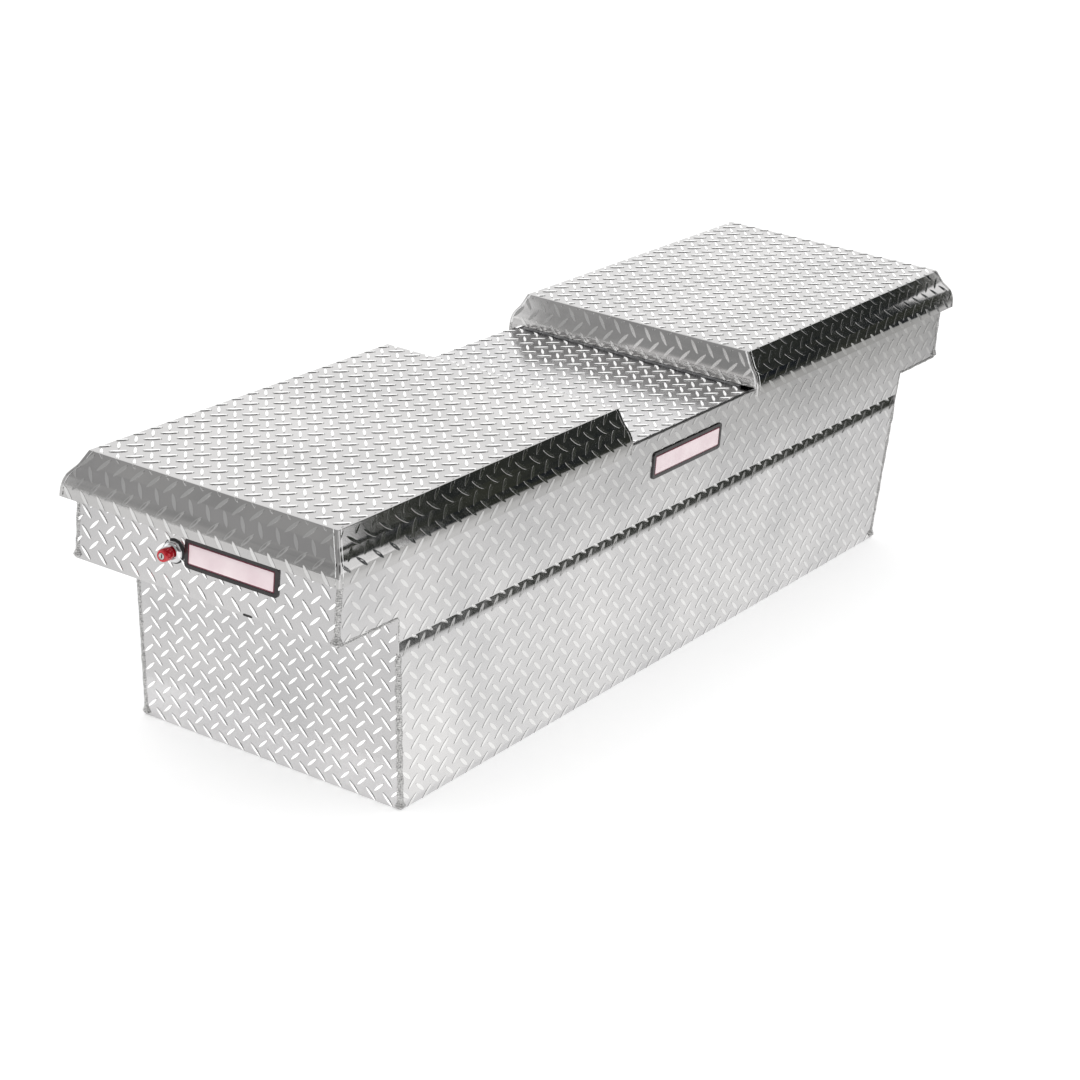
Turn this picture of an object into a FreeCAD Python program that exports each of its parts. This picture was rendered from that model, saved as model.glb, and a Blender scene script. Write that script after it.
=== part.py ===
import FreeCAD, Part
import Sketcher
import math
import os
import re

# Crossover truck tool box in aluminium tread plate: a deep tub, two wings that rest on the
# bed rails, two gull-wing lids hinged beside a fixed centre panel, and a push-button lock at
# each wing end.  Millimetres; origin under the middle of the tub; +X right, -Y front, +Z up.

# ---------------------------------------------------------------- driving sizes
SIZES = (
    ("WingHalf", "908", "half length over the wing end panels"),
    ("HalfDepth", "229", "half depth of the upper body"),
    ("RearStep", "13", "how far the rear panel stands out below the wings"),
    ("Plate", "2", "sheet thickness of the body and the lids"),
    ("WingBottom", "307", "underside of the wings"),
    ("WingLong", "138", "length of a wing beyond the tub"),
    ("TubTaper", "38", "how far a tub end leans in from the wings to the floor"),
    ("RimTop", "408", "top of the body walls and of their turned-in rims"),
    ("RimWidth", "18", "how far a rim turns in from its wall"),
    ("BeltLow", "250", "bottom of the formed belt along the front"),
    ("BeltHigh", "268", "top of the belt, under its overhang"),
    ("BeltDepth", "6", "how far the belt is set in"),
    ("LidTop", "470", "top of the lids"),
    ("LidInner", "201", "inner edge of a lid's flat top"),
    ("LidEndIn", "7", "outer edge of a lid's flat top, in from the wing's end"),
    ("LidSideIn", "14", "long edges of a lid's flat top, in from the walls"),
    ("InnerRun", "8", "how far a lid's inner end slopes in"),
    ("InnerDrop", "45", "height of the sloping part of a lid's inner end"),
    ("LidReach", "29", "how far a lid's lip stands out beyond its flat top"),
    ("LipDrop", "68", "depth of a lid's lip"),
    ("PanThick", "1.5", "sheet thickness of the lid pans and hinge leaves"),
    ("PanInset", "22", "how far a lid pan reaches beyond the flat top"),
    ("PanLift", "11", "height of a lid pan's turned-up edge"),
    ("KnuckleR", "3.2", "outer radius of a hinge knuckle"),
    ("PinR", "1.6", "radius of a hinge pin"),
    ("PinPlay", "0.05", "radial running clearance on every pin"),
    ("PanelDrop", "23", "depth of the flanges turned down along the centre panel"),
    ("GutterWidth", "22.4", "inside width of a rain gutter"),
    ("SealHigh", "8", "height of the lid seals"),
    ("SealWide", "10", "width of the lid seals"),
    ("Gap", "0.3", "clearance between faces that move past each other"),
    ("LockSide", "52", "middle of a lock, towards the rear"),
    ("LockUp", "367", "height of a lock's axis"),
    ("StemR", "8", "radius of a push button's stem"),
    ("BarrelR", "11", "radius of a lock housing's barrel"),
    ("BezelR", "16", "radius of a lock's bezel"),
    ("ButtonR", "9.6", "largest radius of a push button"),
    ("ButtonOut", "28", "how far a push button stands out of the end panel"),
    ("ButtonTravel", "6", "stroke of a push button"),
    ("KeyR", "5", "radius of a key cylinder"),
    ("LatchIn", "93", "latch pivot, in from the wing's end"),
    ("LatchUp", "362", "height of the latch pivot"),
    ("StrikerR", "30", "distance from the latch pivot to the striker bar"),
    ("BarR", "3", "radius of the striker bar"),
    ("HookPlay", "1.5", "clearance of the hook's claw round the striker bar"),
    ("HookWide", "5.6", "width of the hook's claw"),
    ("HookThick", "4", "thickness of the hook and of the release lever"),
    ("HookHub", "9", "radius of the hook's hub"),
    ("HookArc", "50", "angle that the hook's claw spans, degrees"),
    ("HookArm", "14", "angle that the hook's arm spans, degrees"),
    ("HookTurn", "18", "lean of the hook's arm swung clear, degrees"),
    ("HookPinR", "4", "radius of the hook's pin"),
    ("LeverPinR", "3", "radius of the release lever's pin"),
    ("LeverIn", "36", "release lever pivot, in from the wing's end"),
    ("LeverUp", "330", "height of the release lever pivot"),
    ("StrutIn", "47", "plane of a gas strut, in from the rear panel"),
    ("StrutBaseOut", "60", "lower strut pivot, outwards from the hinge"),
    ("StrutBaseDown", "210", "lower strut pivot, down from the hinge"),
    ("StrutLidOut", "170", "upper strut pivot, outwards from the hinge"),
    ("StrutLidDown", "14", "upper strut pivot, down from the hinge"),
    ("StrutR", "9", "radius of a gas strut's cylinder"),
    ("RodR", "4", "radius of a gas strut's rod"),
    ("StudR", "4", "radius of the strut studs"),
    ("EyeHalf", "5.5", "half thickness of a strut's eyes"),
    ("EyeWall", "5", "material round an eye's bore"),
    ("BoltR", "5.5", "radius of the rail bolt holes"),
    ("BoltSpan", "300", "distance between a wing's two rail bolt holes"),
    ("BoltIn", "70", "rail bolt holes, in from the wing's end"),
    ("BadgeLong", "211", "length of the front badge plate"),
    ("EndBadgeLong", "162", "length of an end badge plate"),
    ("BadgeHigh", "44", "height of every badge plate"),
    ("BadgeThick", "2.5", "thickness of every badge plate"),
    ("BadgeUp", "355", "height of the front badge's middle"),
    ("EndBadgeUp", "371", "height of an end badge's middle"),
    ("EndBadgeSide", "-48", "middle of an end badge, along the depth"),
    ("WeldR", "5", "radius of a weld bead"),
    ("WeldIn", "3", "how far a bead's middle lies inside its corner"),
    ("SlotLong", "16", "length of a wing's drain slot"),
    ("JogHigh", "24", "height over which the rear panel steps in under the wings"),
    ("DrainX", "600", "floor drain holes, from the middle"),
    ("DrainR", "10", "radius of a floor drain hole"),
    ("StrutTube", "168", "length of a gas strut's cylinder"),
    ("SlotSide", "-78", "middle of a wing's drain slot, along the depth"),
    ("SlotHigh", "3", "height of a wing's drain slot"),
    ("CollarWide", "4", "how far a drain plug's collar overlaps the floor"),
    ("CollarHigh", "2", "thickness of a drain plug's collar"),
    ("StiffHalf", "40", "half width of the centre panel's stiffener"),
    ("HatHalf", "25", "half width of a lid stiffener's hat"),
    ("HatFoot", "20", "width of a lid stiffener's foot"),
    ("RivetR", "3", "radius of a hinge rivet's head"),
    ("RivetLift", "8", "hinge rivets, up from the flange's edge"),
    ("HingeEnd", "1", "clearance between a hinge and the rims at its ends"),
    ("SealShift", "3", "how far a seal's inner end lies off the middle of its ledge"),
    ("GasketThick", "1.5", "thickness of a lock's gasket"),
    ("GasketEdge", "2", "how far a gasket shows round its bezel"),
    ("BezelHigh", "7.5", "height of a lock's bezel"),
    ("BezelEdge", "3", "chamfer of a bezel"),
    ("RecessDeep", "5", "depth of a bezel's recess"),
    ("RecessPlay", "0.6", "clearance round a push button in its recess"),
    ("RearPlay", "1", "clearance behind a pushed button"),
    ("BarrelLong", "24", "how far a lock housing's barrel reaches in"),
    ("NutThick", "6", "thickness of a lock's nut"),
    ("ButtonEdge", "5", "length of a push button's tapered end"),
    ("ButtonNeck", "4", "length of a push button's tapered rear"),
    ("BoreDeep", "14", "depth of the key cylinder's bore"),
    ("KeywayDeep", "6", "depth of a keyway"),
    ("KeywayHalf", "0.7", "half width of a keyway"),
    ("SheetThick", "3", "thickness of the latch and strut brackets"),
    ("BracketGap", "4", "from the hook's middle to the latch bracket"),
    ("BracketFoot", "15", "depth of a latch bracket's foot"),
    ("BracketEdge", "10", "material round the latch bracket's pins"),
    ("LeverHalf", "3", "half width of a release lever's arm"),
    ("NubHalf", "2", "half height of the nub the button pushes"),
    ("NubReach", "6", "how far the nub stands out from the lever's pivot"),
    ("TailReach", "30", "reach of a release lever's tail"),
    ("StrikerHalf", "5", "half width of a striker's legs"),
    ("StrikerIn", "12", "inside of a striker's legs, from the hook's middle"),
    ("TubeIn", "4", "start of a strut's cylinder beyond its stud"),
    ("TubeEnd", "20", "solid end of a strut's cylinder"),
    ("RodIn", "2", "clearance behind a strut's rod"),
    ("StudOver", "1", "how far a lower stud shows beyond its eye"),
    ("BaseHalf", "20", "half width of a strut's lower bracket"),
    ("BaseHigh", "25", "half height of a strut's lower bracket"),
    ("FootHalf", "18", "half width of a strut's lid bracket"),
    ("FootDeep", "22", "depth of a strut's lid bracket"),
    ("WebHalf", "12", "half width of a lid bracket's web"),
    ("WebGap", "12", "from a strut's plane to its lid bracket's web"),
    # sizes that follow from the ones above
    ("RearSide", "=HalfDepth + RearStep", "outside of the rear panel below the wings, from the middle"),
    ("TubTopHalf", "=WingHalf - WingLong", "half length of the tub where it meets the wings"),
    ("TubBaseHalf", "=TubTopHalf - TubTaper", "half length of the tub at the floor"),
    ("LidOuter", "=WingHalf - LidEndIn", "outer edge of a lid's flat top"),
    ("LidFlat", "=HalfDepth - LidSideIn", "half depth of a lid's flat top"),
    ("LatchX", "=WingHalf - LatchIn", "latch pivot, from the middle"),
    ("LeverX", "=WingHalf - LeverIn", "release lever pivot, from the middle"),
    ("BoltX", "=WingHalf - BoltIn", "rail bolt holes, from the middle"),
    ("StrutSide", "=RearSide - StrutIn", "plane of a gas strut, towards the rear"),
    ("LeafTop", "=LidTop - InnerDrop - Plate", "top of a lid leaf, where the lid's inner end bends"),
    ("PanelTop", "=RimTop + Plate", "top of the centre panel"),
    ("LidLow", "=LidTop - LipDrop", "bottom of a lid's lip"),
    ("HingeX", "=LidInner - InnerRun + Plate + PanThick - KnuckleR", "hinge axis, from the middle"),
    ("HingeUp", "=PanelTop + PanThick", "height of the hinge axis"),
    ("PanelHalf", "=HingeX - KnuckleR", "half length of the centre panel"),
    ("KnuckleLow", "=HingeUp - KnuckleR - Gap", "top of the plain part of a frame leaf"),
    ("WallLow", "=HingeUp + KnuckleR + Gap", "bottom of a lid's inner end"),
    ("GutterIn", "=PanelHalf + PanThick", "inner face of a gutter"),
    ("GutterOut", "=GutterIn + GutterWidth + 2 * Plate", "outer face of a gutter's far wall"),
    ("SealTop", "=RimTop + SealHigh", "top of a seal"),
    ("PanLow", "=SealTop + Gap", "underside of a lid pan"),
    ("SealSide", "=HalfDepth - Plate - RimWidth / 2", "middle of a seal's long sides"),
    ("SealEnd", "=WingHalf - Plate - RimWidth / 2", "middle of a seal's outer end"),
    ("SealHinge", "=GutterOut + RimWidth / 2 - SealShift", "middle of a seal's inner end"),
    ("TubSlope", "=atan((TubTopHalf - TubBaseHalf) / WingBottom) / 1deg", "lean of a tub end, degrees"),
    ("EndPlate", "=Plate / cos(TubSlope * 1deg)", "a tub end's thickness measured level"),
    ("TubTopIn", "=TubTopHalf - EndPlate", "inner face of a tub end at the wings"),
    ("TubBaseIn", "=TubBaseHalf - EndPlate", "inner face of a tub end at the floor"),
    ("PanOut", "=LidOuter + PanInset", "outer edge of a lid pan"),
    ("PanSide", "=LidFlat + PanInset", "half depth of a lid pan"),
    ("PanIn", "=HingeX + KnuckleR + PanThick / 2", "hinge-side edge of a lid pan"),
    ("HingeHalf", "=HalfDepth - RimWidth - HingeEnd", "half length of a hinge"),
    ("KnuckleLong", "=HingeHalf * 2 / 14", "length of one hinge knuckle"),
    ("GasketOut", "=WingHalf + GasketThick", "outer face of a lock's gasket"),
    ("BezelOut", "=GasketOut + BezelHigh", "outer face of a lock's bezel"),
    ("RecessIn", "=BezelOut - RecessDeep", "bottom of the bezel's recess"),
    ("ButtonTip", "=WingHalf + ButtonOut", "outer end of a push button"),
    ("ButtonRear", "=RecessIn + ButtonTravel + RearPlay", "rear of a push button's head"),
    ("StemIn", "=LeverX + NubReach + Gap", "inner end of a push button's stem"),
    ("LeverReach", "=LockUp - LeverUp", "height of the lever's nub over its pivot"),
    ("StrutRun", "=StrutLidOut - StrutBaseOut", "outward run of a strut"),
    ("StrutRise", "=StrutBaseDown - StrutLidDown", "rise of a strut"),
    ("StrutLong", "=sqrt(StrutRun * StrutRun + StrutRise * StrutRise)", "strut length, lid shut"),
)


# ---------------------------------------------------------------- document and helpers
doc = FreeCAD.newDocument("TruckToolBox")
sheet = doc.addObject("Spreadsheet::Sheet", "Sizes")
for row, (alias, value, note) in enumerate(SIZES, start=1):
    sheet.set(f"A{row}", alias)
    sheet.set(f"B{row}", value)
    sheet.set(f"C{row}", note)
    sheet.setAlias(f"B{row}", alias)
doc.recompute()

SIDES = (("left", -1), ("right", 1))
UP = FreeCAD.Vector(0, 0, 1)
PARTS = []


def bind(thing, prop, text):
    """Tie a property to the sheet: every capitalised word in text is one of its aliases."""
    thing.setExpression(prop, re.sub(r"\b[A-Z]\w*", r"Sizes.\g<0>", str(text)))


def place(thing, x, y, z):
    for axis, text in zip("xyz", (x, y, z)):
        bind(thing, f"Placement.Base.{axis}", text)


def keep(name, thing):
    """Register a finished sub-part under its node name."""
    thing.Label = name
    PARTS.append(thing)
    return thing


def signed(side, text):
    return f"{side} * ({text})"


def level(side):
    """Turn that lays a piece drawn flat (x outwards, y up) into the upright plane of one side."""
    out = FreeCAD.Vector(side, 0, 0)
    return FreeCAD.Rotation(out, UP, out.cross(UP))


def slab(across, deep, up, side=1):
    """Box between two texts on each axis; across runs outwards from the middle."""
    box = doc.addObject("Part::Box", "Slab")
    for prop, (low, high) in zip(("Length", "Width", "Height"), (across, deep, up)):
        bind(box, prop, f"({high}) - ({low})")
    place(box, across[0] if side > 0 else f"-({across[1]})", deep[0], up[0])
    return box


def round_bar(axis, radius, start, length, centre):
    """Cylinder along x, y or z that starts at start; centre gives its other two coordinates."""
    bar = doc.addObject("Part::Cylinder", "Bar")
    turns = {"x": (FreeCAD.Vector(0, 1, 0), 90), "y": (FreeCAD.Vector(1, 0, 0), -90), "z": (UP, 0)}
    bar.Placement = FreeCAD.Placement(FreeCAD.Vector(), FreeCAD.Rotation(*turns[axis]))
    bind(bar, "Radius", radius)
    bind(bar, "Height", length)
    where = list(centre)
    where.insert("xyz".index(axis), start)
    place(bar, *where)
    return bar


def join(kind, pieces):
    """Part::MultiFuse or Part::Compound of several objects."""
    group = doc.addObject(kind, "Group")
    setattr(group, "Shapes" if kind == "Part::MultiFuse" else "Links", pieces)
    return group


def minus(base, tool):
    cut = doc.addObject("Part::Cut", "Cut")
    cut.Base = base
    cut.Tool = tool
    return cut


def body_sketch(body, role, offset="0"):
    """Sketch on one of the body's own origin planes, moved along the plane's normal."""
    sketch = body.newObject("Sketcher::SketchObject", "Sketch")
    plane = next(item for item in body.Origin.OriginFeatures if item.Role == role)
    sketch.AttachmentSupport = [(plane, "")]
    sketch.MapMode = "FlatFace"
    bind(sketch, "AttachmentOffset.Base.z", offset)
    return sketch


def fix_point(sketch, shape, point, x, y):
    for kind, text in (("DistanceX", x), ("DistanceY", y)):
        index = sketch.addConstraint(Sketcher.Constraint(kind, -1, 1, shape, point, 1.0 + shape))
        bind(sketch, f"Constraints[{index}]", text)


def outline(sketch, corners):
    """Closed outline of straight lines whose corners are all tied to the sheet."""
    first = sketch.GeometryCount
    count = len(corners)
    turn = 2 * math.pi / count
    spots = [FreeCAD.Vector(50 * math.cos(turn * i), 50 * math.sin(turn * i), 0) for i in range(count)]
    for i in range(count):
        sketch.addGeometry(Part.LineSegment(spots[i], spots[(i + 1) % count]), False)
    for i in range(count):
        sketch.addConstraint(Sketcher.Constraint("Coincident", first + i, 2, first + (i + 1) % count, 1))
    for i, (x, y) in enumerate(corners):
        fix_point(sketch, first + i, 1, x, y)


def rectangle(sketch, x0, x1, y0, y1):
    outline(sketch, ((x0, y0), (x1, y0), (x1, y1), (x0, y1)))


def circle(sketch, x, y, radius):
    index = sketch.addGeometry(Part.Circle(FreeCAD.Vector(1, 1, 0), UP, 3), False)
    fix_point(sketch, index, 3, x, y)
    size = sketch.addConstraint(Sketcher.Constraint("Radius", index, 3))
    bind(sketch, f"Constraints[{size}]", radius)


def pad(body, sketch, length, middle=False):
    feature = body.newObject("PartDesign::Pad", "Pad")
    feature.Profile = sketch
    feature.SideType = "Symmetric" if middle else "One side"
    bind(feature, "Length", length)
    return feature


def drill(body, sketch):
    """Pocket straight through the body, both ways from the sketch."""
    feature = body.newObject("PartDesign::Pocket", "Pocket")
    feature.Profile = sketch
    feature.Type = "ThroughAll"
    feature.SideType = "Symmetric"
    return feature


def new_body(name):
    return keep(name, doc.addObject("PartDesign::Body", "Body"))


def turned(name, side, corners):
    """Body turned about a level axis through the lock; corners are (outwards, radius)."""
    body = new_body(name)
    sketch = body_sketch(body, "XY_Plane")
    outline(sketch, corners)
    spin = body.newObject("PartDesign::Revolution", "Turn")
    spin.Profile = sketch
    spin.ReferenceAxis = (sketch, ["H_Axis"])
    spin.Angle = 360
    body.Placement = FreeCAD.Placement(FreeCAD.Vector(), FreeCAD.Rotation(UP, 0 if side > 0 else 180))
    place(body, 0, "LockSide", "LockUp")
    return body


# ---------------------------------------------------------------- body shell
def front_panel():
    """Bent sheet: wall with the formed belt, and a rim turned in at the top."""
    body = new_body("front_panel")
    profile = body_sketch(body, "YZ_Plane")
    outline(profile, (
        ("-HalfDepth", "0"),
        ("-HalfDepth", "BeltLow"),
        ("-HalfDepth + BeltDepth", "BeltHigh"),
        ("-HalfDepth", "BeltHigh"),
        ("-HalfDepth", "RimTop"),
        ("-HalfDepth + RimWidth", "RimTop"),
        ("-HalfDepth + RimWidth", "RimTop - Plate"),
        ("-HalfDepth + Plate", "RimTop - Plate"),
        ("-HalfDepth + Plate", "BeltHigh + Plate"),
        ("-HalfDepth + Plate + BeltDepth", "BeltHigh + Plate"),
        ("-HalfDepth + Plate + BeltDepth", "BeltHigh"),
        ("-HalfDepth + Plate", "BeltLow"),
        ("-HalfDepth + Plate", "0"),
    ))
    pad(body, profile, "2 * (WingHalf - Plate)", middle=True)
    trim_under_wings(body)


def rear_panel():
    """Bent sheet: the tub's wall stands out behind the wings, and its rim turns in."""
    body = new_body("rear_panel")
    profile = body_sketch(body, "YZ_Plane")
    outline(profile, (
        ("RearSide", "0"),
        ("RearSide", "WingBottom - JogHigh"),
        ("HalfDepth", "WingBottom"),
        ("HalfDepth", "RimTop"),
        ("HalfDepth - RimWidth", "RimTop"),
        ("HalfDepth - RimWidth", "RimTop - Plate"),
        ("HalfDepth - Plate", "RimTop - Plate"),
        ("HalfDepth - Plate", "WingBottom"),
        ("RearSide - Plate", "WingBottom - JogHigh"),
        ("RearSide - Plate", "0"),
    ))
    pad(body, profile, "2 * (WingHalf - Plate)", middle=True)
    trim_under_wings(body)


def trim_under_wings(body):
    """Cut a front or rear sheet to the tub's tapered outline below the wings."""
    sketch = body_sketch(body, "XZ_Plane")
    for _, side in SIDES:
        outline(sketch, (
            (signed(side, "TubTopIn"), "WingBottom"),
            (signed(side, "TubBaseIn"), "0"),
            (signed(side, "TubBaseIn"), "-Plate"),
            (signed(side, "WingHalf"), "-Plate"),
            (signed(side, "WingHalf"), "WingBottom"),
        ))
    drill(body, sketch)


def wing_end_panel(name, side):
    """End sheet of a wing with its turned-in rim, lock hole and drain slot."""
    body = new_body(f"{name}_wing_end_panel")
    wall = body_sketch(body, "XZ_Plane")
    rectangle(wall, signed(side, "WingHalf - Plate"), signed(side, "WingHalf"), "WingBottom", "RimTop")
    pad(body, wall, "2 * HalfDepth", middle=True)
    rim = body_sketch(body, "XZ_Plane")
    rectangle(rim, signed(side, "WingHalf - RimWidth"), signed(side, "WingHalf - Plate"),
              "RimTop - Plate", "RimTop")
    pad(body, rim, "2 * (HalfDepth - RimWidth)", middle=True)
    holes = body_sketch(body, "YZ_Plane")
    circle(holes, "LockSide", "LockUp", "BarrelR + PinPlay")
    rectangle(holes, "SlotSide - SlotLong / 2", "SlotSide + SlotLong / 2",
              "WingBottom", "WingBottom + SlotHigh")
    drill(body, holes)


def wing_floor(name, side):
    """Tray of a wing, which rests on the bed rail, with its two rail bolt holes."""
    body = new_body(f"{name}_wing_floor")
    sheet_sketch = body_sketch(body, "XY_Plane", "WingBottom")
    rectangle(sheet_sketch, signed(side, "TubTopHalf"), signed(side, "WingHalf - Plate"),
              "-HalfDepth + Plate", "HalfDepth - Plate")
    for end in (-1, 1):
        circle(sheet_sketch, signed(side, "BoltX"), f"{end} * BoltSpan / 2", "BoltR")
    pad(body, sheet_sketch, "Plate")


def tub_end_panel(name, side):
    """Leaning end sheet of the tub with a lip beside the wing floor, cut back behind the rear panel's step."""
    body = new_body(f"{name}_tub_end_panel")
    sketch = body_sketch(body, "XZ_Plane", "-RearSide")
    outline(sketch, (
        (signed(side, "TubBaseHalf"), "0"),
        (signed(side, "TubTopHalf"), "WingBottom"),
        (signed(side, "TubTopIn"), "WingBottom"),
        (signed(side, "TubBaseIn"), "0"),
    ))
    pad(body, sketch, "RearSide + HalfDepth")
    lip = body_sketch(body, "XZ_Plane")
    rectangle(lip, signed(side, "TubTopIn"), signed(side, "TubTopHalf"), "WingBottom", "WingBottom + Plate")
    pad(body, lip, "2 * (HalfDepth - Plate)", middle=True)
    corner = body_sketch(body, "YZ_Plane")
    outline(corner, (
        ("RearSide", "WingBottom - JogHigh"),
        ("RearSide + Plate", "WingBottom - JogHigh"),
        ("RearSide + Plate", "WingBottom + Plate"),
        ("HalfDepth", "WingBottom + Plate"),
        ("HalfDepth", "WingBottom"),
    ))
    drill(body, corner)


def floor_panel():
    """Tub floor between the four walls, with two drain holes."""
    body = new_body("floor_panel")
    sketch = body_sketch(body, "XZ_Plane", "-RearSide + Plate")
    top = "TubBaseIn + Plate * tan(TubSlope * 1deg)"
    outline(sketch, (("-TubBaseIn", "0"), ("TubBaseIn", "0"), (top, "Plate"), (f"-({top})", "Plate")))
    pad(body, sketch, "RearSide + HalfDepth - 2 * Plate")
    holes = body_sketch(body, "XY_Plane")
    for _, side in SIDES:
        circle(holes, signed(side, "DrainX"), "0", "DrainR")
    drill(body, holes)


def drain_plugs():
    """Rubber plugs that fill the two drain holes, each with a collar on the floor."""
    plugs = []
    for _, side in SIDES:
        where = (signed(side, "DrainX"), "0")
        stem = round_bar("z", "DrainR", "0", "Plate", where)
        collar = round_bar("z", "DrainR + CollarWide", "Plate", "CollarHigh", where)
        plugs.append(join("Part::MultiFuse", [stem, collar]))
    keep("drain_plugs", join("Part::Compound", plugs))


def centre_top_panel():
    """Fixed panel between the lids, with a flange turned down along each hinge."""
    body = new_body("centre_top_panel")
    top = body_sketch(body, "XZ_Plane")
    rectangle(top, "-PanelHalf", "PanelHalf", "RimTop", "PanelTop")
    pad(body, top, "2 * HalfDepth", middle=True)
    flanges = body_sketch(body, "XZ_Plane")
    for _, side in SIDES:
        rectangle(flanges, signed(side, "PanelHalf - Plate"), signed(side, "PanelHalf"),
                  "PanelTop - PanelDrop", "RimTop")
    pad(body, flanges, "2 * (HalfDepth - RimWidth)", middle=True)


def centre_stiffener():
    """Channel under the centre panel that carries a hand's weight on it."""
    body = new_body("centre_stiffener")
    sketch = body_sketch(body, "YZ_Plane")
    outline(sketch, (
        ("-StiffHalf", "RimTop"), ("-StiffHalf", "RimTop - PanelDrop + Plate"),
        ("StiffHalf", "RimTop - PanelDrop + Plate"), ("StiffHalf", "RimTop"), ("StiffHalf - Plate", "RimTop"),
        ("StiffHalf - Plate", "RimTop - PanelDrop + 2 * Plate"),
        ("-StiffHalf + Plate", "RimTop - PanelDrop + 2 * Plate"), ("-StiffHalf + Plate", "RimTop"),
    ))
    pad(body, sketch, "2 * (PanelHalf - Plate)", middle=True)


def rain_gutter(name, side):
    """Channel under a hinge that carries rain out, with a ledge for the lid seal."""
    body = new_body(f"{name}_rain_gutter")
    low = "PanelTop - PanelDrop - Plate"
    rim = "RimTop - Plate"
    channel = body_sketch(body, "XZ_Plane")
    outline(channel, (
        (signed(side, "GutterIn"), low), (signed(side, "GutterOut"), low),
        (signed(side, "GutterOut"), rim), (signed(side, "GutterOut - Plate"), rim),
        (signed(side, "GutterOut - Plate"), f"{low} + Plate"),
        (signed(side, "GutterIn + Plate"), f"{low} + Plate"),
        (signed(side, "GutterIn + Plate"), rim), (signed(side, "GutterIn"), rim),
    ))
    pad(body, channel, "2 * (HalfDepth - Plate)", middle=True)
    ledge = body_sketch(body, "XZ_Plane")
    rectangle(ledge, signed(side, "GutterOut - Plate"), signed(side, "GutterOut - Plate + RimWidth"),
              rim, "RimTop")
    pad(body, ledge, "2 * (HalfDepth - RimWidth)", middle=True)


def lid_seal(name, side):
    """Rubber ring on the rims around one opening."""
    body = new_body(f"{name}_lid_seal")
    sketch = body_sketch(body, "XY_Plane", "RimTop")
    for grow in ("SealWide / 2", "-SealWide / 2"):
        rectangle(sketch, signed(side, f"SealHinge - ({grow})"), signed(side, f"SealEnd + {grow}"),
                  f"-(SealSide + {grow})", f"SealSide + {grow}")
    pad(body, sketch, "SealHigh")


def weld_bead(radius_side, depth_sign, lean, length):
    """Three quarters of a round bead along an outside corner, before it is placed."""
    bead = round_bar("z", "WeldR", "0", length, ("0", "0"))
    quarter = slab(("-4 * WeldR", "WeldIn"), ("-4 * WeldR", "WeldIn"), ("-Plate", f"({length}) + Plate"))
    turn = {(1, 1): 0, (-1, 1): 90, (-1, -1): 180, (1, -1): 270}[(radius_side, depth_sign)]
    cut = minus(bead, quarter)
    cut.Placement = FreeCAD.Placement(FreeCAD.Vector(), FreeCAD.Rotation(UP, turn))
    holder = join("Part::Compound", [cut])
    holder.Placement = FreeCAD.Placement(FreeCAD.Vector(), FreeCAD.Rotation(FreeCAD.Vector(0, 1, 0), 1))
    bind(holder, "Placement.Rotation.Angle", lean)
    return holder


def corner_welds():
    """Beads down the four wing corners and the four tub corners."""
    wing = []
    tub = []
    for _, side in SIDES:
        for depth in (-1, 1):
            bead = weld_bead(side, depth, "0", "RimTop - WingBottom - Plate")
            place(bead, signed(side, "WingHalf - WeldIn"), signed(depth, "HalfDepth - WeldIn"),
                  "WingBottom + Plate / 2")
            wing.append(bead)
            top = "BeltLow" if depth < 0 else "WingBottom - JogHigh"
            wall = "-HalfDepth + WeldIn" if depth < 0 else "RearSide - WeldIn"
            bead = weld_bead(side, depth, signed(side, "TubSlope"), f"{top} / cos(TubSlope * 1deg) - Plate")
            foot = "TubBaseHalf - WeldIn / cos(TubSlope * 1deg) + Plate / 2 * tan(TubSlope * 1deg)"
            place(bead, signed(side, foot), wall, "Plate / 2")
            tub.append(bead)
    keep("wing_corner_welds", join("Part::Compound", wing))
    keep("tub_corner_welds", join("Part::Compound", tub))


# ---------------------------------------------------------------- hinges and lids
def hinge_leaf(name, side, on_lid):
    """Half of a piano hinge: a plain leaf, and every second knuckle of the row."""
    body = new_body(f"{name}_hinge_{'lid' if on_lid else 'frame'}_leaf")
    plate = body_sketch(body, "XZ_Plane")
    if on_lid:
        rectangle(plate, signed(side, "HingeX + KnuckleR - PanThick"), signed(side, "HingeX + KnuckleR"),
                  "HingeUp", "LeafTop")
    else:
        rectangle(plate, signed(side, "HingeX - KnuckleR"), signed(side, "HingeX - KnuckleR + PanThick"),
                  "PanelTop - PanelDrop", "HingeUp")
    pad(body, plate, "2 * HingeHalf", middle=True)
    ring = body_sketch(body, "XZ_Plane")
    circle(ring, signed(side, "HingeX"), "HingeUp", "KnuckleR")
    pad(body, ring, "2 * HingeHalf", middle=True)
    bore = body_sketch(body, "XZ_Plane")
    circle(bore, signed(side, "HingeX"), "HingeUp", "PinR + PinPlay")
    drill(body, bore)
    start = "-HingeHalf" if on_lid else "-HingeHalf + KnuckleLong"
    notch_sketch = body_sketch(body, "XZ_Plane", f"-({start} + KnuckleLong + Gap / 2)")
    rectangle(notch_sketch, signed(side, "HingeX - KnuckleR - Gap"), signed(side, "HingeX + KnuckleR + Gap"),
              "KnuckleLow", "WallLow")
    notch = body.newObject("PartDesign::Pocket", "Notch")
    notch.Profile = notch_sketch
    notch.Reversed = True
    bind(notch, "Length", "KnuckleLong + Gap")
    row = body.newObject("PartDesign::LinearPattern", "Row")
    row.Originals = [notch]
    axis = next(item for item in body.Origin.OriginFeatures if item.Role == "Y_Axis")
    row.Direction = (axis, [""])
    bind(row, "Length", "12 * KnuckleLong")
    row.Occurrences = 7
    body.Tip = row


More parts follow.
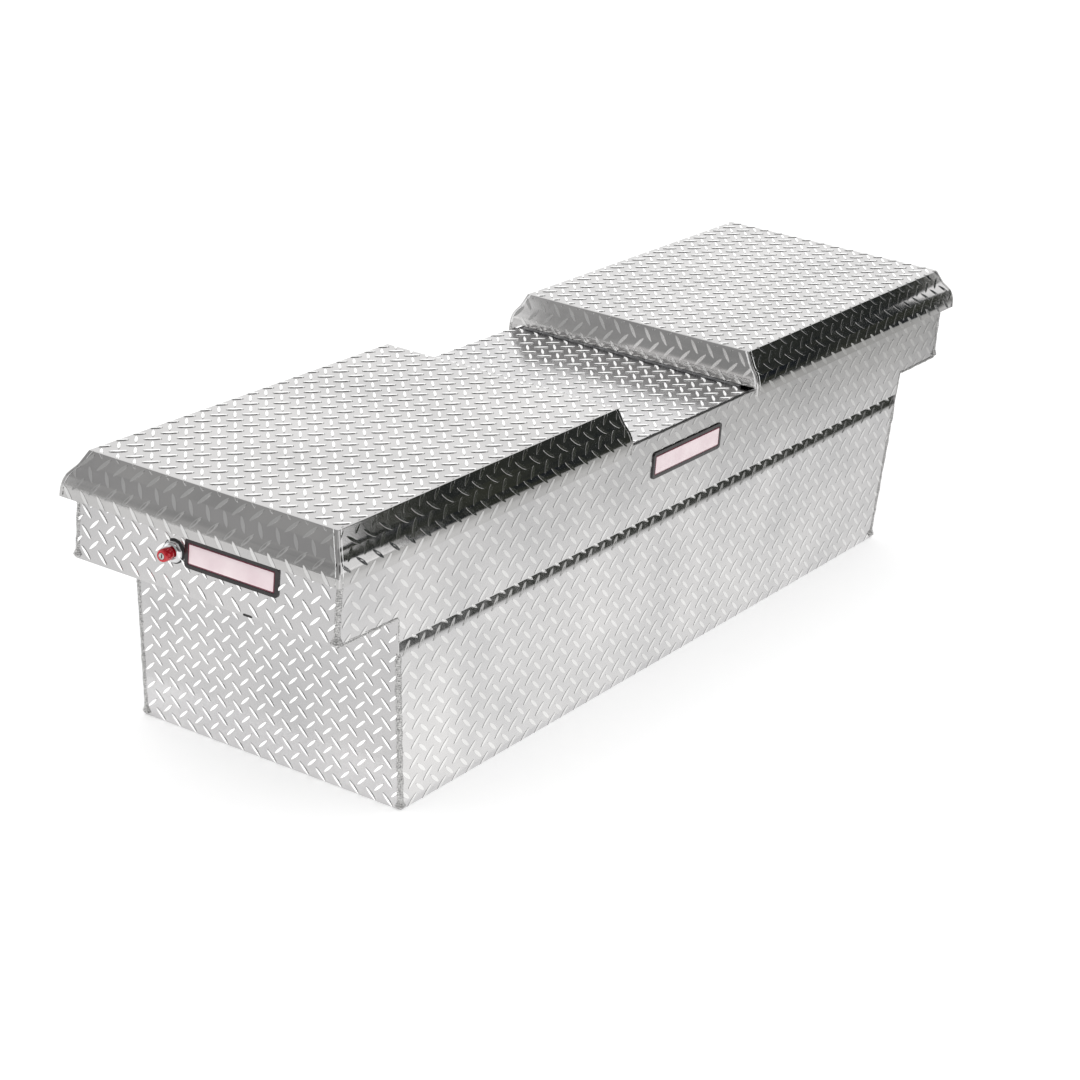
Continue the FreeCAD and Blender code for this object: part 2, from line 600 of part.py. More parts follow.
def hinge_pin(name, side):
    pin = round_bar("y", "PinR", "-HingeHalf", "2 * HingeHalf", (signed(side, "HingeX"), "HingeUp"))
    keep(f"{name}_hinge_pin", pin)


def hinge_rivets():
    """Rivet heads that hold both frame leaves to the centre panel's flanges."""
    heads = []
    for _, side in SIDES:
        start = "PanelHalf - Plate - PanThick" if side > 0 else "-(PanelHalf - Plate)"
        for index in range(7):
            heads.append(round_bar("x", "RivetR", start, "PanThick",
                                   (f"{index - 3} * 2 * KnuckleLong", "PanelTop - PanelDrop + RivetLift")))
    keep("hinge_rivets", join("Part::Compound", heads))


# (drop from the top, share of the lip's reach) down a lid's edge: a steep face, a shallower one,
# a rounded shoulder and an upright lip
LID_EDGE = (
    ("0", "0"),
    ("LipDrop * 0.32", "LidReach * 0.41"),
    ("LipDrop * 0.43", "LidReach * 0.63"),
    ("LipDrop * 0.52", "LidReach * 0.79"),
    ("InnerDrop", "LidReach * 0.92"),
    ("LipDrop * 0.83", "LidReach * 0.985"),
    ("LipDrop", "LidReach"),
)


def lid_ring(body, side, drop, reach, skin):
    """One level of a lid: a rectangle that grows outwards with the depth below the top."""
    sketch = body_sketch(body, "XY_Plane", f"LidTop - ({drop}) - ({skin})")
    slope = f"min({drop}; InnerDrop) / InnerDrop * InnerRun"
    rectangle(sketch, signed(side, f"LidInner - {slope} + {skin}"),
              signed(side, f"LidOuter + {reach} - {skin}"),
              f"-(LidFlat + {reach} - {skin})", f"LidFlat + {reach} - {skin}")
    return sketch


def lid_shell(name, side):
    """Pressed and welded cover of a lid, open below, with its inner end cut clear of the hinge."""
    body = new_body(f"{name}_lid_shell")
    for kind, skin in (("PartDesign::AdditiveLoft", "0"), ("PartDesign::SubtractiveLoft", "Plate")):
        levels = [lid_ring(body, side, drop, reach, skin) for drop, reach in LID_EDGE]
        loft = body.newObject(kind, "Skin")
        loft.Profile = levels[0]
        loft.Sections = levels[1:]
        loft.Ruled = True
    opening = body_sketch(body, "YZ_Plane", signed(side, "LidInner - InnerRun - Plate"))
    rectangle(opening, "-(LidFlat + LidReach - Plate)", "LidFlat + LidReach - Plate",
              "LidLow - Plate", "WallLow")
    clear = body.newObject("PartDesign::Pocket", "HingeGap")
    clear.Profile = opening
    clear.Reversed = side > 0
    bind(clear, "Length", "3 * Plate")


def lid_pan(name, side):
    """Inner sheet of a lid, with its edges turned up inside the lip, that shuts on the seal."""
    body = new_body(f"{name}_lid_pan")
    base = body_sketch(body, "XY_Plane", "PanLow")
    rectangle(base, signed(side, "PanIn"), signed(side, "PanOut"), "-PanSide", "PanSide")
    pad(body, base, "PanThick")
    edge = body_sketch(body, "XY_Plane", "PanLow")
    outline(edge, (
        (signed(side, "PanIn"), "-PanSide"), (signed(side, "PanOut"), "-PanSide"),
        (signed(side, "PanOut"), "PanSide"), (signed(side, "PanIn"), "PanSide"),
        (signed(side, "PanIn"), "PanSide - PanThick"),
        (signed(side, "PanOut - PanThick"), "PanSide - PanThick"),
        (signed(side, "PanOut - PanThick"), "-PanSide + PanThick"),
        (signed(side, "PanIn"), "-PanSide + PanThick"),
    ))
    pad(body, edge, "PanLift")


def lid_stiffeners(name, side):
    """Hat channels between a lid's top and its pan."""
    body = new_body(f"{name}_lid_stiffeners")
    sketch = body_sketch(body, "XZ_Plane")
    top = "LidTop - Plate"
    low = "PanLow + PanThick"
    for share in ("0.2", "0.5", "0.8"):
        middle = f"LidInner + (LidOuter - LidInner) * {share}"
        outline(sketch, tuple((signed(side, f"{middle} + ({x})"), z) for x, z in (
            ("-HatHalf - HatFoot", low), ("-HatHalf", low), ("-HatHalf", f"{top} - PanThick"),
            ("HatHalf", f"{top} - PanThick"), ("HatHalf", low), ("HatHalf + HatFoot", low),
            ("HatHalf + HatFoot", f"{low} + PanThick"), ("HatHalf + PanThick", f"{low} + PanThick"),
            ("HatHalf + PanThick", top), ("-HatHalf - PanThick", top),
            ("-HatHalf - PanThick", f"{low} + PanThick"), ("-HatHalf - HatFoot", f"{low} + PanThick"),
        )))
    pad(body, sketch, "2 * (LidFlat - HatHalf)", middle=True)


# ---------------------------------------------------------------- locks and latches
def lock(name, side):
    """Push-button lock: gasket, housing with its nut, button and key cylinder."""
    turned(f"{name}_lock_gasket", side, (
        ("WingHalf", "BarrelR + PinPlay"), ("WingHalf", "BezelR + GasketEdge"),
        ("GasketOut", "BezelR + GasketEdge"), ("GasketOut", "BarrelR + PinPlay"),
    ))
    turned(f"{name}_lock_housing", side, (
        ("WingHalf - BarrelLong", "StemR + PinPlay"), ("WingHalf - BarrelLong", "BarrelR"),
        ("GasketOut", "BarrelR"), ("GasketOut", "BezelR"),
        ("BezelOut - BezelEdge", "BezelR"), ("BezelOut", "BezelR - BezelEdge"),
        ("BezelOut", "ButtonR + RecessPlay"), ("RecessIn", "ButtonR + RecessPlay"),
        ("RecessIn", "StemR + PinPlay"),
    ))
    turned(f"{name}_lock_nut", side, (
        ("WingHalf - Plate - NutThick", "BarrelR"), ("WingHalf - Plate - NutThick", "BezelR"),
        ("WingHalf - Plate", "BezelR"), ("WingHalf - Plate", "BarrelR"),
    ))
    turned(f"{name}_push_button", side, (
        ("StemIn", "0"), ("StemIn", "StemR"), ("ButtonRear", "StemR"), ("ButtonRear", "ButtonR - RecessPlay"),
        ("ButtonRear + ButtonNeck", "ButtonR"), ("ButtonTip - ButtonEdge", "ButtonR"),
        ("ButtonTip", "ButtonR - RearPlay"), ("ButtonTip", "KeyR + PinPlay"),
        ("ButtonTip - BoreDeep", "KeyR + PinPlay"), ("ButtonTip - BoreDeep", "0"),
    ))
    face = "ButtonTip - BoreDeep + Gap"
    start = face if side > 0 else "-ButtonTip"
    plug = round_bar("x", "KeyR", start, "BoreDeep - Gap", ("LockSide", "LockUp"))
    keyway = slab(("ButtonTip - KeywayDeep", "ButtonTip + Gap"),
                  ("LockSide - KeywayHalf", "LockSide + KeywayHalf"),
                  ("LockUp - KeyR * 0.6", "LockUp + KeyR * 0.6"), side)
    keep(f"{name}_key_cylinder", minus(plug, keyway))


def latch_bracket(name, side):
    """Plate on the wing floor that carries the latch hook's pin and the release lever's pin."""
    body = new_body(f"{name}_latch_bracket")
    low = "WingBottom + Plate"
    plate = body_sketch(body, "XZ_Plane", "-(LockSide + BracketGap + SheetThick)")
    outline(plate, tuple((signed(side, x), z) for x, z in (
        ("LatchX - 2 * BracketEdge", low), ("LeverX + BracketEdge", low),
        ("LeverX + BracketEdge", "LeverUp + 0.8 * BracketEdge"),
        ("LeverX - 1.4 * BracketEdge", "LeverUp + 1.4 * BracketEdge"),
        ("LatchX + 2 * BracketEdge", "LatchUp + 1.6 * BracketEdge"),
        ("LatchX - 1.4 * BracketEdge", "LatchUp + 1.6 * BracketEdge"),
    )))
    pad(body, plate, "SheetThick")
    foot = body_sketch(body, "XZ_Plane", "-(LockSide + BracketGap + SheetThick + BracketFoot)")
    rectangle(foot, signed(side, "LatchX - 2 * BracketEdge"), signed(side, "LeverX + BracketEdge"),
              low, f"{low} + SheetThick")
    pad(body, foot, "BracketFoot")
    pins = body_sketch(body, "XZ_Plane", "-(LockSide + BracketGap)")
    circle(pins, signed(side, "LatchX"), "LatchUp", "HookPinR")
    circle(pins, signed(side, "LeverX"), "LeverUp", "LeverPinR")
    pad(body, pins, "2 * BracketGap")


def latch_hook(name, side):
    """Hook that swings over the striker bar; drawn swung clear of it."""
    inner = "StrikerR + BarR + HookPlay"
    outer = f"{inner} + HookWide"
    sector, arm, hub = (round_bar("z", radius, "-HookThick / 2", "HookThick", ("0", "0"))
                        for radius in (outer, outer, "HookHub"))
    bind(sector, "Angle", "HookArc * 1deg")
    bind(arm, "Angle", "HookArm * 1deg")
    hollow, bore = (round_bar("z", radius, "-HookThick", "2 * HookThick", ("0", "0"))
                    for radius in (inner, "HookPinR + PinPlay"))
    hook = minus(join("Part::MultiFuse", [minus(sector, hollow), arm, hub]), bore)
    turn = level(side).multiply(FreeCAD.Rotation(UP, float(sheet.get("HookTurn"))))
    hook.Placement = FreeCAD.Placement(FreeCAD.Vector(), turn)
    place(hook, signed(side, "LatchX"), "LockSide", "LatchUp")
    keep(f"{name}_latch_hook", hook)


def release_lever(name, side):
    """Bell crank pushed by the button's stem through a small nub."""
    body = new_body(f"{name}_release_lever")
    top = "LeverReach + NubHalf"
    sketch = body_sketch(body, "XY_Plane")
    outline(sketch, (
        ("-TailReach", "NubHalf"), ("-TailReach", "4 * NubHalf"), ("-LeverHalf", "3 * NubHalf"),
        ("-LeverHalf", f"{top} + LeverHalf"), ("LeverHalf", f"{top} + LeverHalf"), ("LeverHalf", top),
        ("NubReach", top), ("NubReach", "LeverReach - NubHalf"), ("LeverHalf", "LeverReach - NubHalf"),
        ("LeverHalf", "-2 * NubHalf"), ("-LeverHalf", "-2 * NubHalf"),
    ))
    pad(body, sketch, "HookThick", middle=True)
    hub = body_sketch(body, "XY_Plane")
    circle(hub, "0", "0", "2 * LeverHalf")
    pad(body, hub, "HookThick", middle=True)
    bore = body_sketch(body, "XY_Plane")
    circle(bore, "0", "0", "LeverPinR + PinPlay")
    drill(body, bore)
    body.Placement = FreeCAD.Placement(FreeCAD.Vector(), level(side))
    place(body, signed(side, "LeverX"), "LockSide", "LeverUp")


def striker(name, side):
    """U-shaped loop under a lid pan whose bar the hook holds."""
    bar_up = "LatchUp + StrikerR"
    legs = [slab(("LatchX - StrikerHalf", "LatchX + StrikerHalf"),
                 (f"LockSide + {low}", f"LockSide + {low} + SheetThick"),
                 (f"{bar_up} - StrikerHalf", "PanLow"), side)
            for low in ("StrikerIn", "(-StrikerIn - SheetThick)")]
    bar = round_bar("y", "BarR", "LockSide - StrikerIn", "2 * StrikerIn", (signed(side, "LatchX"), bar_up))
    keep(f"{name}_striker", join("Part::MultiFuse", legs + [bar]))


# ---------------------------------------------------------------- gas struts
def strut_place(thing, side):
    """Lay a strut part, drawn along x from its lower pivot, on its line with the lid shut."""
    lean = math.degrees(math.atan2(float(sheet.get("StrutRise")), float(sheet.get("StrutRun"))))
    thing.Placement = FreeCAD.Placement(FreeCAD.Vector(), level(side).multiply(FreeCAD.Rotation(UP, lean)))
    place(thing, signed(side, "HingeX + StrutBaseOut"), "StrutSide", "HingeUp - StrutBaseDown")


def eye(along):
    return round_bar("z", "StudR + EyeWall", "-EyeHalf", "2 * EyeHalf", (along, "0"))


def eye_bore(along):
    return round_bar("z", "StudR + PinPlay", "-2 * EyeHalf", "4 * EyeHalf", (along, "0"))


def gas_strut(name, side):
    """Cylinder with its lower eye, and the rod with its upper eye."""
    tube = round_bar("x", "StrutR", "StudR + TubeIn", "StrutTube", ("0", "0"))
    bore = round_bar("x", "RodR + PinPlay", "StudR + TubeIn + TubeEnd", "StrutTube", ("0", "0"))
    cylinder = minus(minus(join("Part::MultiFuse", [tube, eye("0")]), eye_bore("0")), bore)
    strut_place(cylinder, side)
    keep(f"{name}_strut_cylinder", cylinder)
    shaft = round_bar("x", "RodR", "StudR + TubeIn + TubeEnd + RodIn",
                      "StrutLong - 2 * StudR - TubeIn - TubeEnd - 2 * RodIn", ("0", "0"))
    rod = minus(join("Part::MultiFuse", [shaft, eye("StrutLong")]), eye_bore("StrutLong"))
    strut_place(rod, side)
    keep(f"{name}_strut_rod", rod)


def strut_brackets(name, side):
    """Lower bracket with the stud the cylinder turns on, and the lid bracket with its short stud."""
    base_x = signed(side, "HingeX + StrutBaseOut")
    base_up = "HingeUp - StrutBaseDown"
    wall = "RearSide - Plate - SheetThick"
    start = "StrutSide - EyeHalf - StudOver"
    plate = slab(("HingeX + StrutBaseOut - BaseHalf", "HingeX + StrutBaseOut + BaseHalf"),
                 (wall, "RearSide - Plate"), (f"{base_up} - BaseHigh", f"{base_up} + BaseHigh"), side)
    stud = round_bar("y", "StudR", start, f"{wall} - ({start})", (base_x, base_up))
    keep(f"{name}_strut_bracket", join("Part::MultiFuse", [plate, stud]))
    top_x = "HingeX + StrutLidOut"
    top_up = "HingeUp - StrutLidDown"
    web_side = "StrutSide - WebGap"
    foot = slab((f"{top_x} - FootHalf", f"{top_x} + FootHalf"), (f"{web_side} - FootDeep", web_side),
                ("PanLow - SheetThick", "PanLow"), side)
    web = slab((f"{top_x} - WebHalf", f"{top_x} + WebHalf"), (f"{web_side} - SheetThick", web_side),
               (f"{top_up} - 2 * StudR", "PanLow"), side)
    short_stud = round_bar("y", "StudR", web_side, "WebGap - EyeHalf - Gap",
                           (signed(side, top_x), top_up))
    keep(f"{name}_strut_lid_bracket", join("Part::MultiFuse", [foot, web, short_stud]))


# ---------------------------------------------------------------- badge plates
def badge_plates():
    """Blank raised plates on the front and on both wing ends."""
    keep("front_badge_plate", slab(("-BadgeLong / 2", "BadgeLong / 2"),
                                   ("-HalfDepth - BadgeThick", "-HalfDepth"),
                                   ("BadgeUp - BadgeHigh / 2", "BadgeUp + BadgeHigh / 2")))
    for name, side in SIDES:
        keep(f"{name}_badge_plate", slab(
            ("WingHalf", "WingHalf + BadgeThick"),
            ("EndBadgeSide - EndBadgeLong / 2", "EndBadgeSide + EndBadgeLong / 2"),
            ("EndBadgeUp - BadgeHigh / 2", "EndBadgeUp + BadgeHigh / 2"), side))


front_panel()
rear_panel()
floor_panel()
drain_plugs()
centre_top_panel()
centre_stiffener()
corner_welds()
hinge_rivets()
badge_plates()
for side_name, side_sign in SIDES:
    wing_end_panel(side_name, side_sign)
    wing_floor(side_name, side_sign)
    tub_end_panel(side_name, side_sign)
    rain_gutter(side_name, side_sign)
    lid_seal(side_name, side_sign)
    hinge_leaf(side_name, side_sign, on_lid=False)
    hinge_leaf(side_name, side_sign, on_lid=True)
    hinge_pin(side_name, side_sign)
    lid_shell(side_name, side_sign)
    lid_pan(side_name, side_sign)
    lid_stiffeners(side_name, side_sign)
    lock(side_name, side_sign)
    latch_bracket(side_name, side_sign)
    latch_hook(side_name, side_sign)
    release_lever(side_name, side_sign)
    striker(side_name, side_sign)
    gas_strut(side_name, side_sign)
    strut_brackets(side_name, side_sign)

doc.recompute()
for thing in doc.Objects:
    if "Invalid" in thing.State or "Error" in thing.State:
        raise RuntimeError(f"{thing.Label} did not build: {thing.State}")
for thing in PARTS:
    if thing.Shape.isNull() or not thing.Shape.isValid():
        raise RuntimeError(f"{thing.Label} has no valid shape")

os.makedirs("parts", exist_ok=True)
for thing in PARTS:
    thing.Shape.exportStep(os.path.join("parts", thing.Label + ".step"))
print(len(PARTS), "sub-parts written")
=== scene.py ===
"""Looks of a gull-wing truck tool box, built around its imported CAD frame. Metres, Z up."""
import math

import bpy
import numpy as np
from mathutils import Matrix, Vector, noise


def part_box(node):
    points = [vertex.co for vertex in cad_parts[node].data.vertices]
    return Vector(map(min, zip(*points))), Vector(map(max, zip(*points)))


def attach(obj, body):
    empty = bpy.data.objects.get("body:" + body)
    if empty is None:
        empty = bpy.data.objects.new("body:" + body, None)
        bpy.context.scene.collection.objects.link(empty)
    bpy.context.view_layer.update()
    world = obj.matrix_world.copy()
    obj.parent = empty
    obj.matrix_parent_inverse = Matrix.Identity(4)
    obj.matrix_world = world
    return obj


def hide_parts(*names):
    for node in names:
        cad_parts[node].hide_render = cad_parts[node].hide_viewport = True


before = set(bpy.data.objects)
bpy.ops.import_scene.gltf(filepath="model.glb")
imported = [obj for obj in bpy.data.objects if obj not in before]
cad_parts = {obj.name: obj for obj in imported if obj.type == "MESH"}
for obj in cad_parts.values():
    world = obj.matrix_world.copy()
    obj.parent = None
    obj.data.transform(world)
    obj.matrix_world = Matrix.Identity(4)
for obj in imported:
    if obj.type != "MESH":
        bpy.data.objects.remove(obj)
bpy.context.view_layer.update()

MM = 0.001
SIDES = (("left", -1), ("right", 1))

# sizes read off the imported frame
WING_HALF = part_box("right_wing_end_panel")[1].x
WING_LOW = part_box("right_wing_end_panel")[0].z
RIM_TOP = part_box("right_wing_end_panel")[1].z
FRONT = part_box("front_panel")[0].y
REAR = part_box("rear_panel")[1].y
HALF_DEPTH = -FRONT
TUB_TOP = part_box("right_tub_end_panel")[1].x
LID_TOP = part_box("right_lid_shell")[1].z
PANEL_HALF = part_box("centre_top_panel")[1].x
PANEL_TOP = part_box("centre_top_panel")[1].z

# sizes repeated from the CAD source
PLATE = 2 * MM
TUB_BASE = 732 * MM
BELT_LOW, BELT_HIGH, BELT_DEPTH = 250 * MM, 268 * MM, 6 * MM
JOG_LOW = 283 * MM
RIM_WIDTH = 18 * MM
LID_INNER, LID_OUTER, LID_FLAT = 201 * MM, 901 * MM, 215 * MM
INNER_RUN, INNER_DROP, LIP_DROP, LID_REACH = 8 * MM, 45 * MM, 68 * MM, 29 * MM
INNER_END_DROP = 55 * MM
BOLT_X, BOLT_Y = 838 * MM, 150 * MM
LOCK_Y, LOCK_Z = 52 * MM, 367 * MM
SLOT_Y = -78 * MM

# tread pattern
PITCH_X, PITCH_Y, PITCH_Z = 36.4 * MM, 29.8 * MM, 31 * MM
LUG_PITCH, LUG_LONG, LUG_WIDE, LUG_HIGH = 31 * MM, 25.5 * MM, 5.4 * MM, 1.7 * MM
WALL, END, TOP = (PITCH_X, PITCH_Z), (PITCH_Y, PITCH_Z), (PITCH_X, PITCH_Y)
WALL_PHASE, END_PHASE, LID_PHASE = (4 * MM, 6 * MM), (2 * MM, 10 * MM), (5 * MM, 3 * MM)
LUG_POINTS = 12
LENS_POWER = 1.35  # above 1 the ends of a lug turn pointed
# (share of the length, share of the width, share of the height) from the foot to the crown
LUG_RINGS = ((1.0, 1.0, -0.25), (1.0, 1.0, 0.02), (0.95, 0.80, 0.62), (0.88, 0.50, 0.92), (0.76, 0.16, 1.0))


# ---------------------------------------------------------------- materials
MIX_FIRST, MIX_SECOND, MIX_RESULT = 6, 7, 2  # colour sockets of a mix node
GRAINS_PER_STREAK = 6
COAT_ROUGHNESS = 0.05


def shader(name):
    material = bpy.data.materials.new(name)
    material.use_nodes = True
    nodes = material.node_tree.nodes
    return material, nodes, material.node_tree.links, nodes["Principled BSDF"]


def noise_node(nodes, links, coords, scale, detail=3.0, stretch=(1, 1, 1)):
    """Noise over a surface; stretch below 1 along an axis draws it out into streaks."""
    mapping = nodes.new("ShaderNodeMapping")
    mapping.inputs["Scale"].default_value = stretch
    links.new(coords, mapping.inputs["Vector"])
    texture = nodes.new("ShaderNodeTexNoise")
    texture.inputs["Scale"].default_value = scale
    texture.inputs["Detail"].default_value = detail
    links.new(mapping.outputs["Vector"], texture.inputs["Vector"])
    return texture.outputs["Fac"]


def ranged(nodes, links, value, low, high, start=0.3, end=0.7):
    """A value from start to end turned into one from low to high."""
    box = nodes.new("ShaderNodeMapRange")
    for socket, number in (("From Min", start), ("From Max", end), ("To Min", low), ("To Max", high)):
        box.inputs[socket].default_value = number
    links.new(value, box.inputs["Value"])
    return box.outputs["Result"]


def mixed(nodes, links, factor, first, second):
    mix = nodes.new("ShaderNodeMix")
    mix.data_type = "RGBA"
    for index, colour in ((MIX_FIRST, first), (MIX_SECOND, second)):
        if hasattr(colour, "is_output"):
            links.new(colour, mix.inputs[index])
        else:
            mix.inputs[index].default_value = (*colour, 1)
    links.new(factor, mix.inputs[0])
    return mix.outputs[MIX_RESULT]


def bumped(nodes, links, height, distance, before=None):
    bump = nodes.new("ShaderNodeBump")
    bump.inputs["Strength"].default_value = 1.0
    bump.inputs["Distance"].default_value = distance
    links.new(height, bump.inputs["Height"])
    if before is not None:
        links.new(before, bump.inputs["Normal"])
    return bump.outputs["Normal"]


def metal(name, dark, light, rough, patch=6.0, grain=(420.0, 0.02 * MM), wave=(14.0, 0.12 * MM),
          stretch=(1, 1, 1), metallic=1.0, glow=0.0):
    """Sheet or bar metal: cloudy colour, uneven polish, fine grain and a slow ripple.

    rough is its lowest and highest roughness; grain and wave are (noise scale, bump depth).
    """
    material, nodes, links, bsdf = shader(name)
    coords = nodes.new("ShaderNodeTexCoord").outputs["Object"]
    cloud = noise_node(nodes, links, coords, patch, 4.0)
    links.new(mixed(nodes, links, ranged(nodes, links, cloud, 0, 1), dark, light), bsdf.inputs["Base Color"])
    streak = noise_node(nodes, links, coords, grain[0] / GRAINS_PER_STREAK, 4.0, stretch)
    links.new(ranged(nodes, links, streak, *rough), bsdf.inputs["Roughness"])
    slow = bumped(nodes, links, noise_node(nodes, links, coords, wave[0], 1.0), wave[1])
    fine = bumped(nodes, links, noise_node(nodes, links, coords, grain[0], 2.0, stretch), grain[1], slow)
    links.new(fine, bsdf.inputs["Normal"])
    bsdf.inputs["Metallic"].default_value = metallic
    # glow above 0 gives the surface an even light of its own: a painted glow, not a lamp
    bsdf.inputs["Emission Color"].default_value = (1, 1, 1, 1)
    bsdf.inputs["Emission Strength"].default_value = glow
    return material


def plain(name, dark, light, rough, grain=(600.0, 0.03 * MM), coat=0.0, metallic=0.0, patch=40.0):
    """Paint, rubber or plastic: slight colour change, uneven gloss and a fine grain."""
    material = metal(name, dark, light, rough, patch=patch, grain=grain, wave=(60.0, 0.01 * MM),
                     metallic=metallic)
    bsdf = material.node_tree.nodes["Principled BSDF"]
    bsdf.inputs["Coat Weight"].default_value = coat
    bsdf.inputs["Coat Roughness"].default_value = COAT_ROUGHNESS
    return material


TREAD = metal("tread_plate", (0.61, 0.605, 0.61), (0.73, 0.72, 0.72), (0.14, 0.24))
LID_TREAD = metal("lid_tread_plate", (0.59, 0.583, 0.58), (0.69, 0.68, 0.675), (0.09, 0.15))
LUGS = metal("tread_lugs", (0.76, 0.755, 0.75), (0.90, 0.895, 0.89), (0.12, 0.20), wave=(60.0, 0.03 * MM))
# lug tops: near-white, hardly metallic colour with an even glow, a painted highlight standing in for the light
# the crowns catch
PAINTED_HIGHLIGHT_CROWNS = metal("lug_crowns_painted_highlight", (0.93, 0.93, 0.925), (0.98, 0.975, 0.97), (0.26, 0.40), metallic=0.1, glow=0.25)
SHEET = metal("mill_sheet", (0.56, 0.56, 0.57), (0.68, 0.68, 0.675), (0.22, 0.36), stretch=(0.03, 1, 1))
WELD = metal("weld_metal", (0.22, 0.22, 0.22), (0.86, 0.85, 0.84), (0.28, 0.46), patch=420.0,
             grain=(900.0, 0.25 * MM), wave=(260.0, 0.9 * MM), metallic=0.7)
POLISHED_WELD = metal("polished_weld", (0.82, 0.82, 0.82), (0.95, 0.945, 0.94), (0.20, 0.34), patch=120.0,
                      grain=(700.0, 0.05 * MM), wave=(160.0, 0.5 * MM), metallic=0.2)
ZINC = metal("zinc_steel", (0.46, 0.46, 0.44), (0.60, 0.60, 0.57), (0.25, 0.42), patch=60.0)
# hinge steel made darker to stand in for the shade in the gap at the lids' inner ends above the centre panel:
# painted shade
HINGE_PAINTED_SHADE = metal("hinge_steel", (0.20, 0.20, 0.21), (0.34, 0.34, 0.34), (0.20, 0.34), patch=80.0)
CHROME = metal("lock_chrome", (0.80, 0.80, 0.81), (0.88, 0.88, 0.89), (0.04, 0.09), patch=90.0,
               grain=(500.0, 0.004 * MM), wave=(80.0, 0.02 * MM))
KEY_METAL = metal("key_metal", (0.62, 0.61, 0.60), (0.78, 0.77, 0.76), (0.18, 0.30), patch=200.0)
STRUT_CHROME = metal("strut_chrome", (0.62, 0.62, 0.63), (0.70, 0.70, 0.71), (0.06, 0.12), patch=90.0)
BUTTON = plain("button_red", (0.42, 0.004, 0.012), (0.62, 0.008, 0.02), (0.20, 0.30), coat=0.8, metallic=0.35)
RUBBER = plain("seal_rubber", (0.018, 0.018, 0.019), (0.034, 0.033, 0.033), (0.55, 0.78))
BLACK = plain("badge_black", (0.008, 0.006, 0.007), (0.02, 0.016, 0.017), (0.22, 0.34), coat=0.3)
MAROON = plain("badge_maroon", (0.11, 0.006, 0.022), (0.17, 0.01, 0.034), (0.24, 0.34), coat=0.4)
FIELD = plain("badge_field", (0.74, 0.60, 0.63), (0.83, 0.71, 0.73), (0.30, 0.42), coat=0.3, patch=30.0)
STRUT_BLACK = plain("strut_black", (0.010, 0.010, 0.011), (0.022, 0.022, 0.024), (0.28, 0.42), coat=0.2)


# ---------------------------------------------------------------- pieces
CURVE_SHARE = 0.36  # most of a straight run that a rounded corner takes up
SUPPORT_GAP = 0.4 * MM
JOIN_GAP = 0.005 * MM
BEVEL_STEPS, BEVEL_ANGLE = 2, 40


def piece(name, points, faces, material, body, slot, nodes=(), crease=32):
    """Mesh piece that rides on a CAD body, in the frame's own coordinates."""
    mesh = bpy.data.meshes.new(name)
    mesh.from_pydata([tuple(map(float, p)) for p in points], [], faces)
    mesh.update()
    mesh.shade_smooth()
    mesh.set_sharp_from_angle(angle=math.radians(crease))
    mesh.materials.append(material)
    obj = bpy.data.objects.new(name, mesh)
    bpy.context.scene.collection.objects.link(obj)
    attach(obj, body)
    if nodes:
        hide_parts(*nodes)
    return obj


def thicken(obj, crease=32):
    """Give an open outer skin its sheet thickness, inwards, with sharp rims."""
    solid = obj.modifiers.new("sheet", "SOLIDIFY")
    solid.thickness = PLATE
    solid.offset = -1
    solid.use_even_offset = True
    skin = obj.data
    obj.data = bpy.data.meshes.new_from_object(obj.evaluated_get(bpy.context.evaluated_depsgraph_get()))
    obj.modifiers.clear()
    bpy.data.meshes.remove(skin)
    obj.data.shade_smooth()
    obj.data.set_sharp_from_angle(angle=math.radians(crease))


def dress(node, material, bevel=0.0):
    """Finish a carried-over CAD node: its material, and softened edges."""
    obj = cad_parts[node]
    obj.data.materials.clear()
    obj.data.materials.append(material)
    if bevel:
        weld = obj.modifiers.new("weld", "WELD")
        weld.merge_threshold = JOIN_GAP
        edge = obj.modifiers.new("edge", "BEVEL")
        edge.width = bevel
        edge.segments = BEVEL_STEPS
        edge.limit_method = "ANGLE"
        edge.angle_limit = math.radians(BEVEL_ANGLE)
        edge.harden_normals = True


def soften(corners, radii, steps=4):
    """Polyline with its inner corners rounded, and a support point just outside each curve."""
    out = [Vector(corners[0])]
    for index in range(1, len(corners) - 1):
        here = Vector(corners[index])
        to_last = Vector(corners[index - 1]) - here
        to_next = Vector(corners[index + 1]) - here
        back, ahead = to_last.normalized(), to_next.normalized()
        first = here + back * min(radii[index - 1], to_last.length * CURVE_SHARE)
        last = here + ahead * min(radii[index - 1], to_next.length * CURVE_SHARE)
        out.append(first + back * SUPPORT_GAP)
        for step in range(steps + 1):
            t = step / steps
            out.append(first * (1 - t) ** 2 + here * 2 * t * (1 - t) + last * t ** 2)
        out.append(last + ahead * SUPPORT_GAP)
    out.append(Vector(corners[-1]))
    return np.array([tuple(p) for p in out])


class Strip:
    """A bent sheet's outer line: place and outward normal at any distance along it."""

    def __init__(self, line, flip=1):
        self.line = line
        steps = np.diff(line, axis=0)
        lengths = np.hypot(steps[:, 0], steps[:, 1])
        self.along = np.concatenate([[0], np.cumsum(lengths)])
        tangents = steps / lengths[:, None]
        self.middle = (self.along[:-1] + self.along[1:]) / 2
        self.normals = np.stack([tangents[:, 1], -tangents[:, 0]], axis=1) * flip

    def at(self, s):
        return np.stack([np.interp(s, self.along, self.line[:, k]) for k in (0, 1)], axis=-1)

    def normal(self, s):
        n = np.stack([np.interp(s, self.middle, self.normals[:, k]) for k in (0, 1)], axis=-1)
        return n / np.linalg.norm(n, axis=-1, keepdims=True)


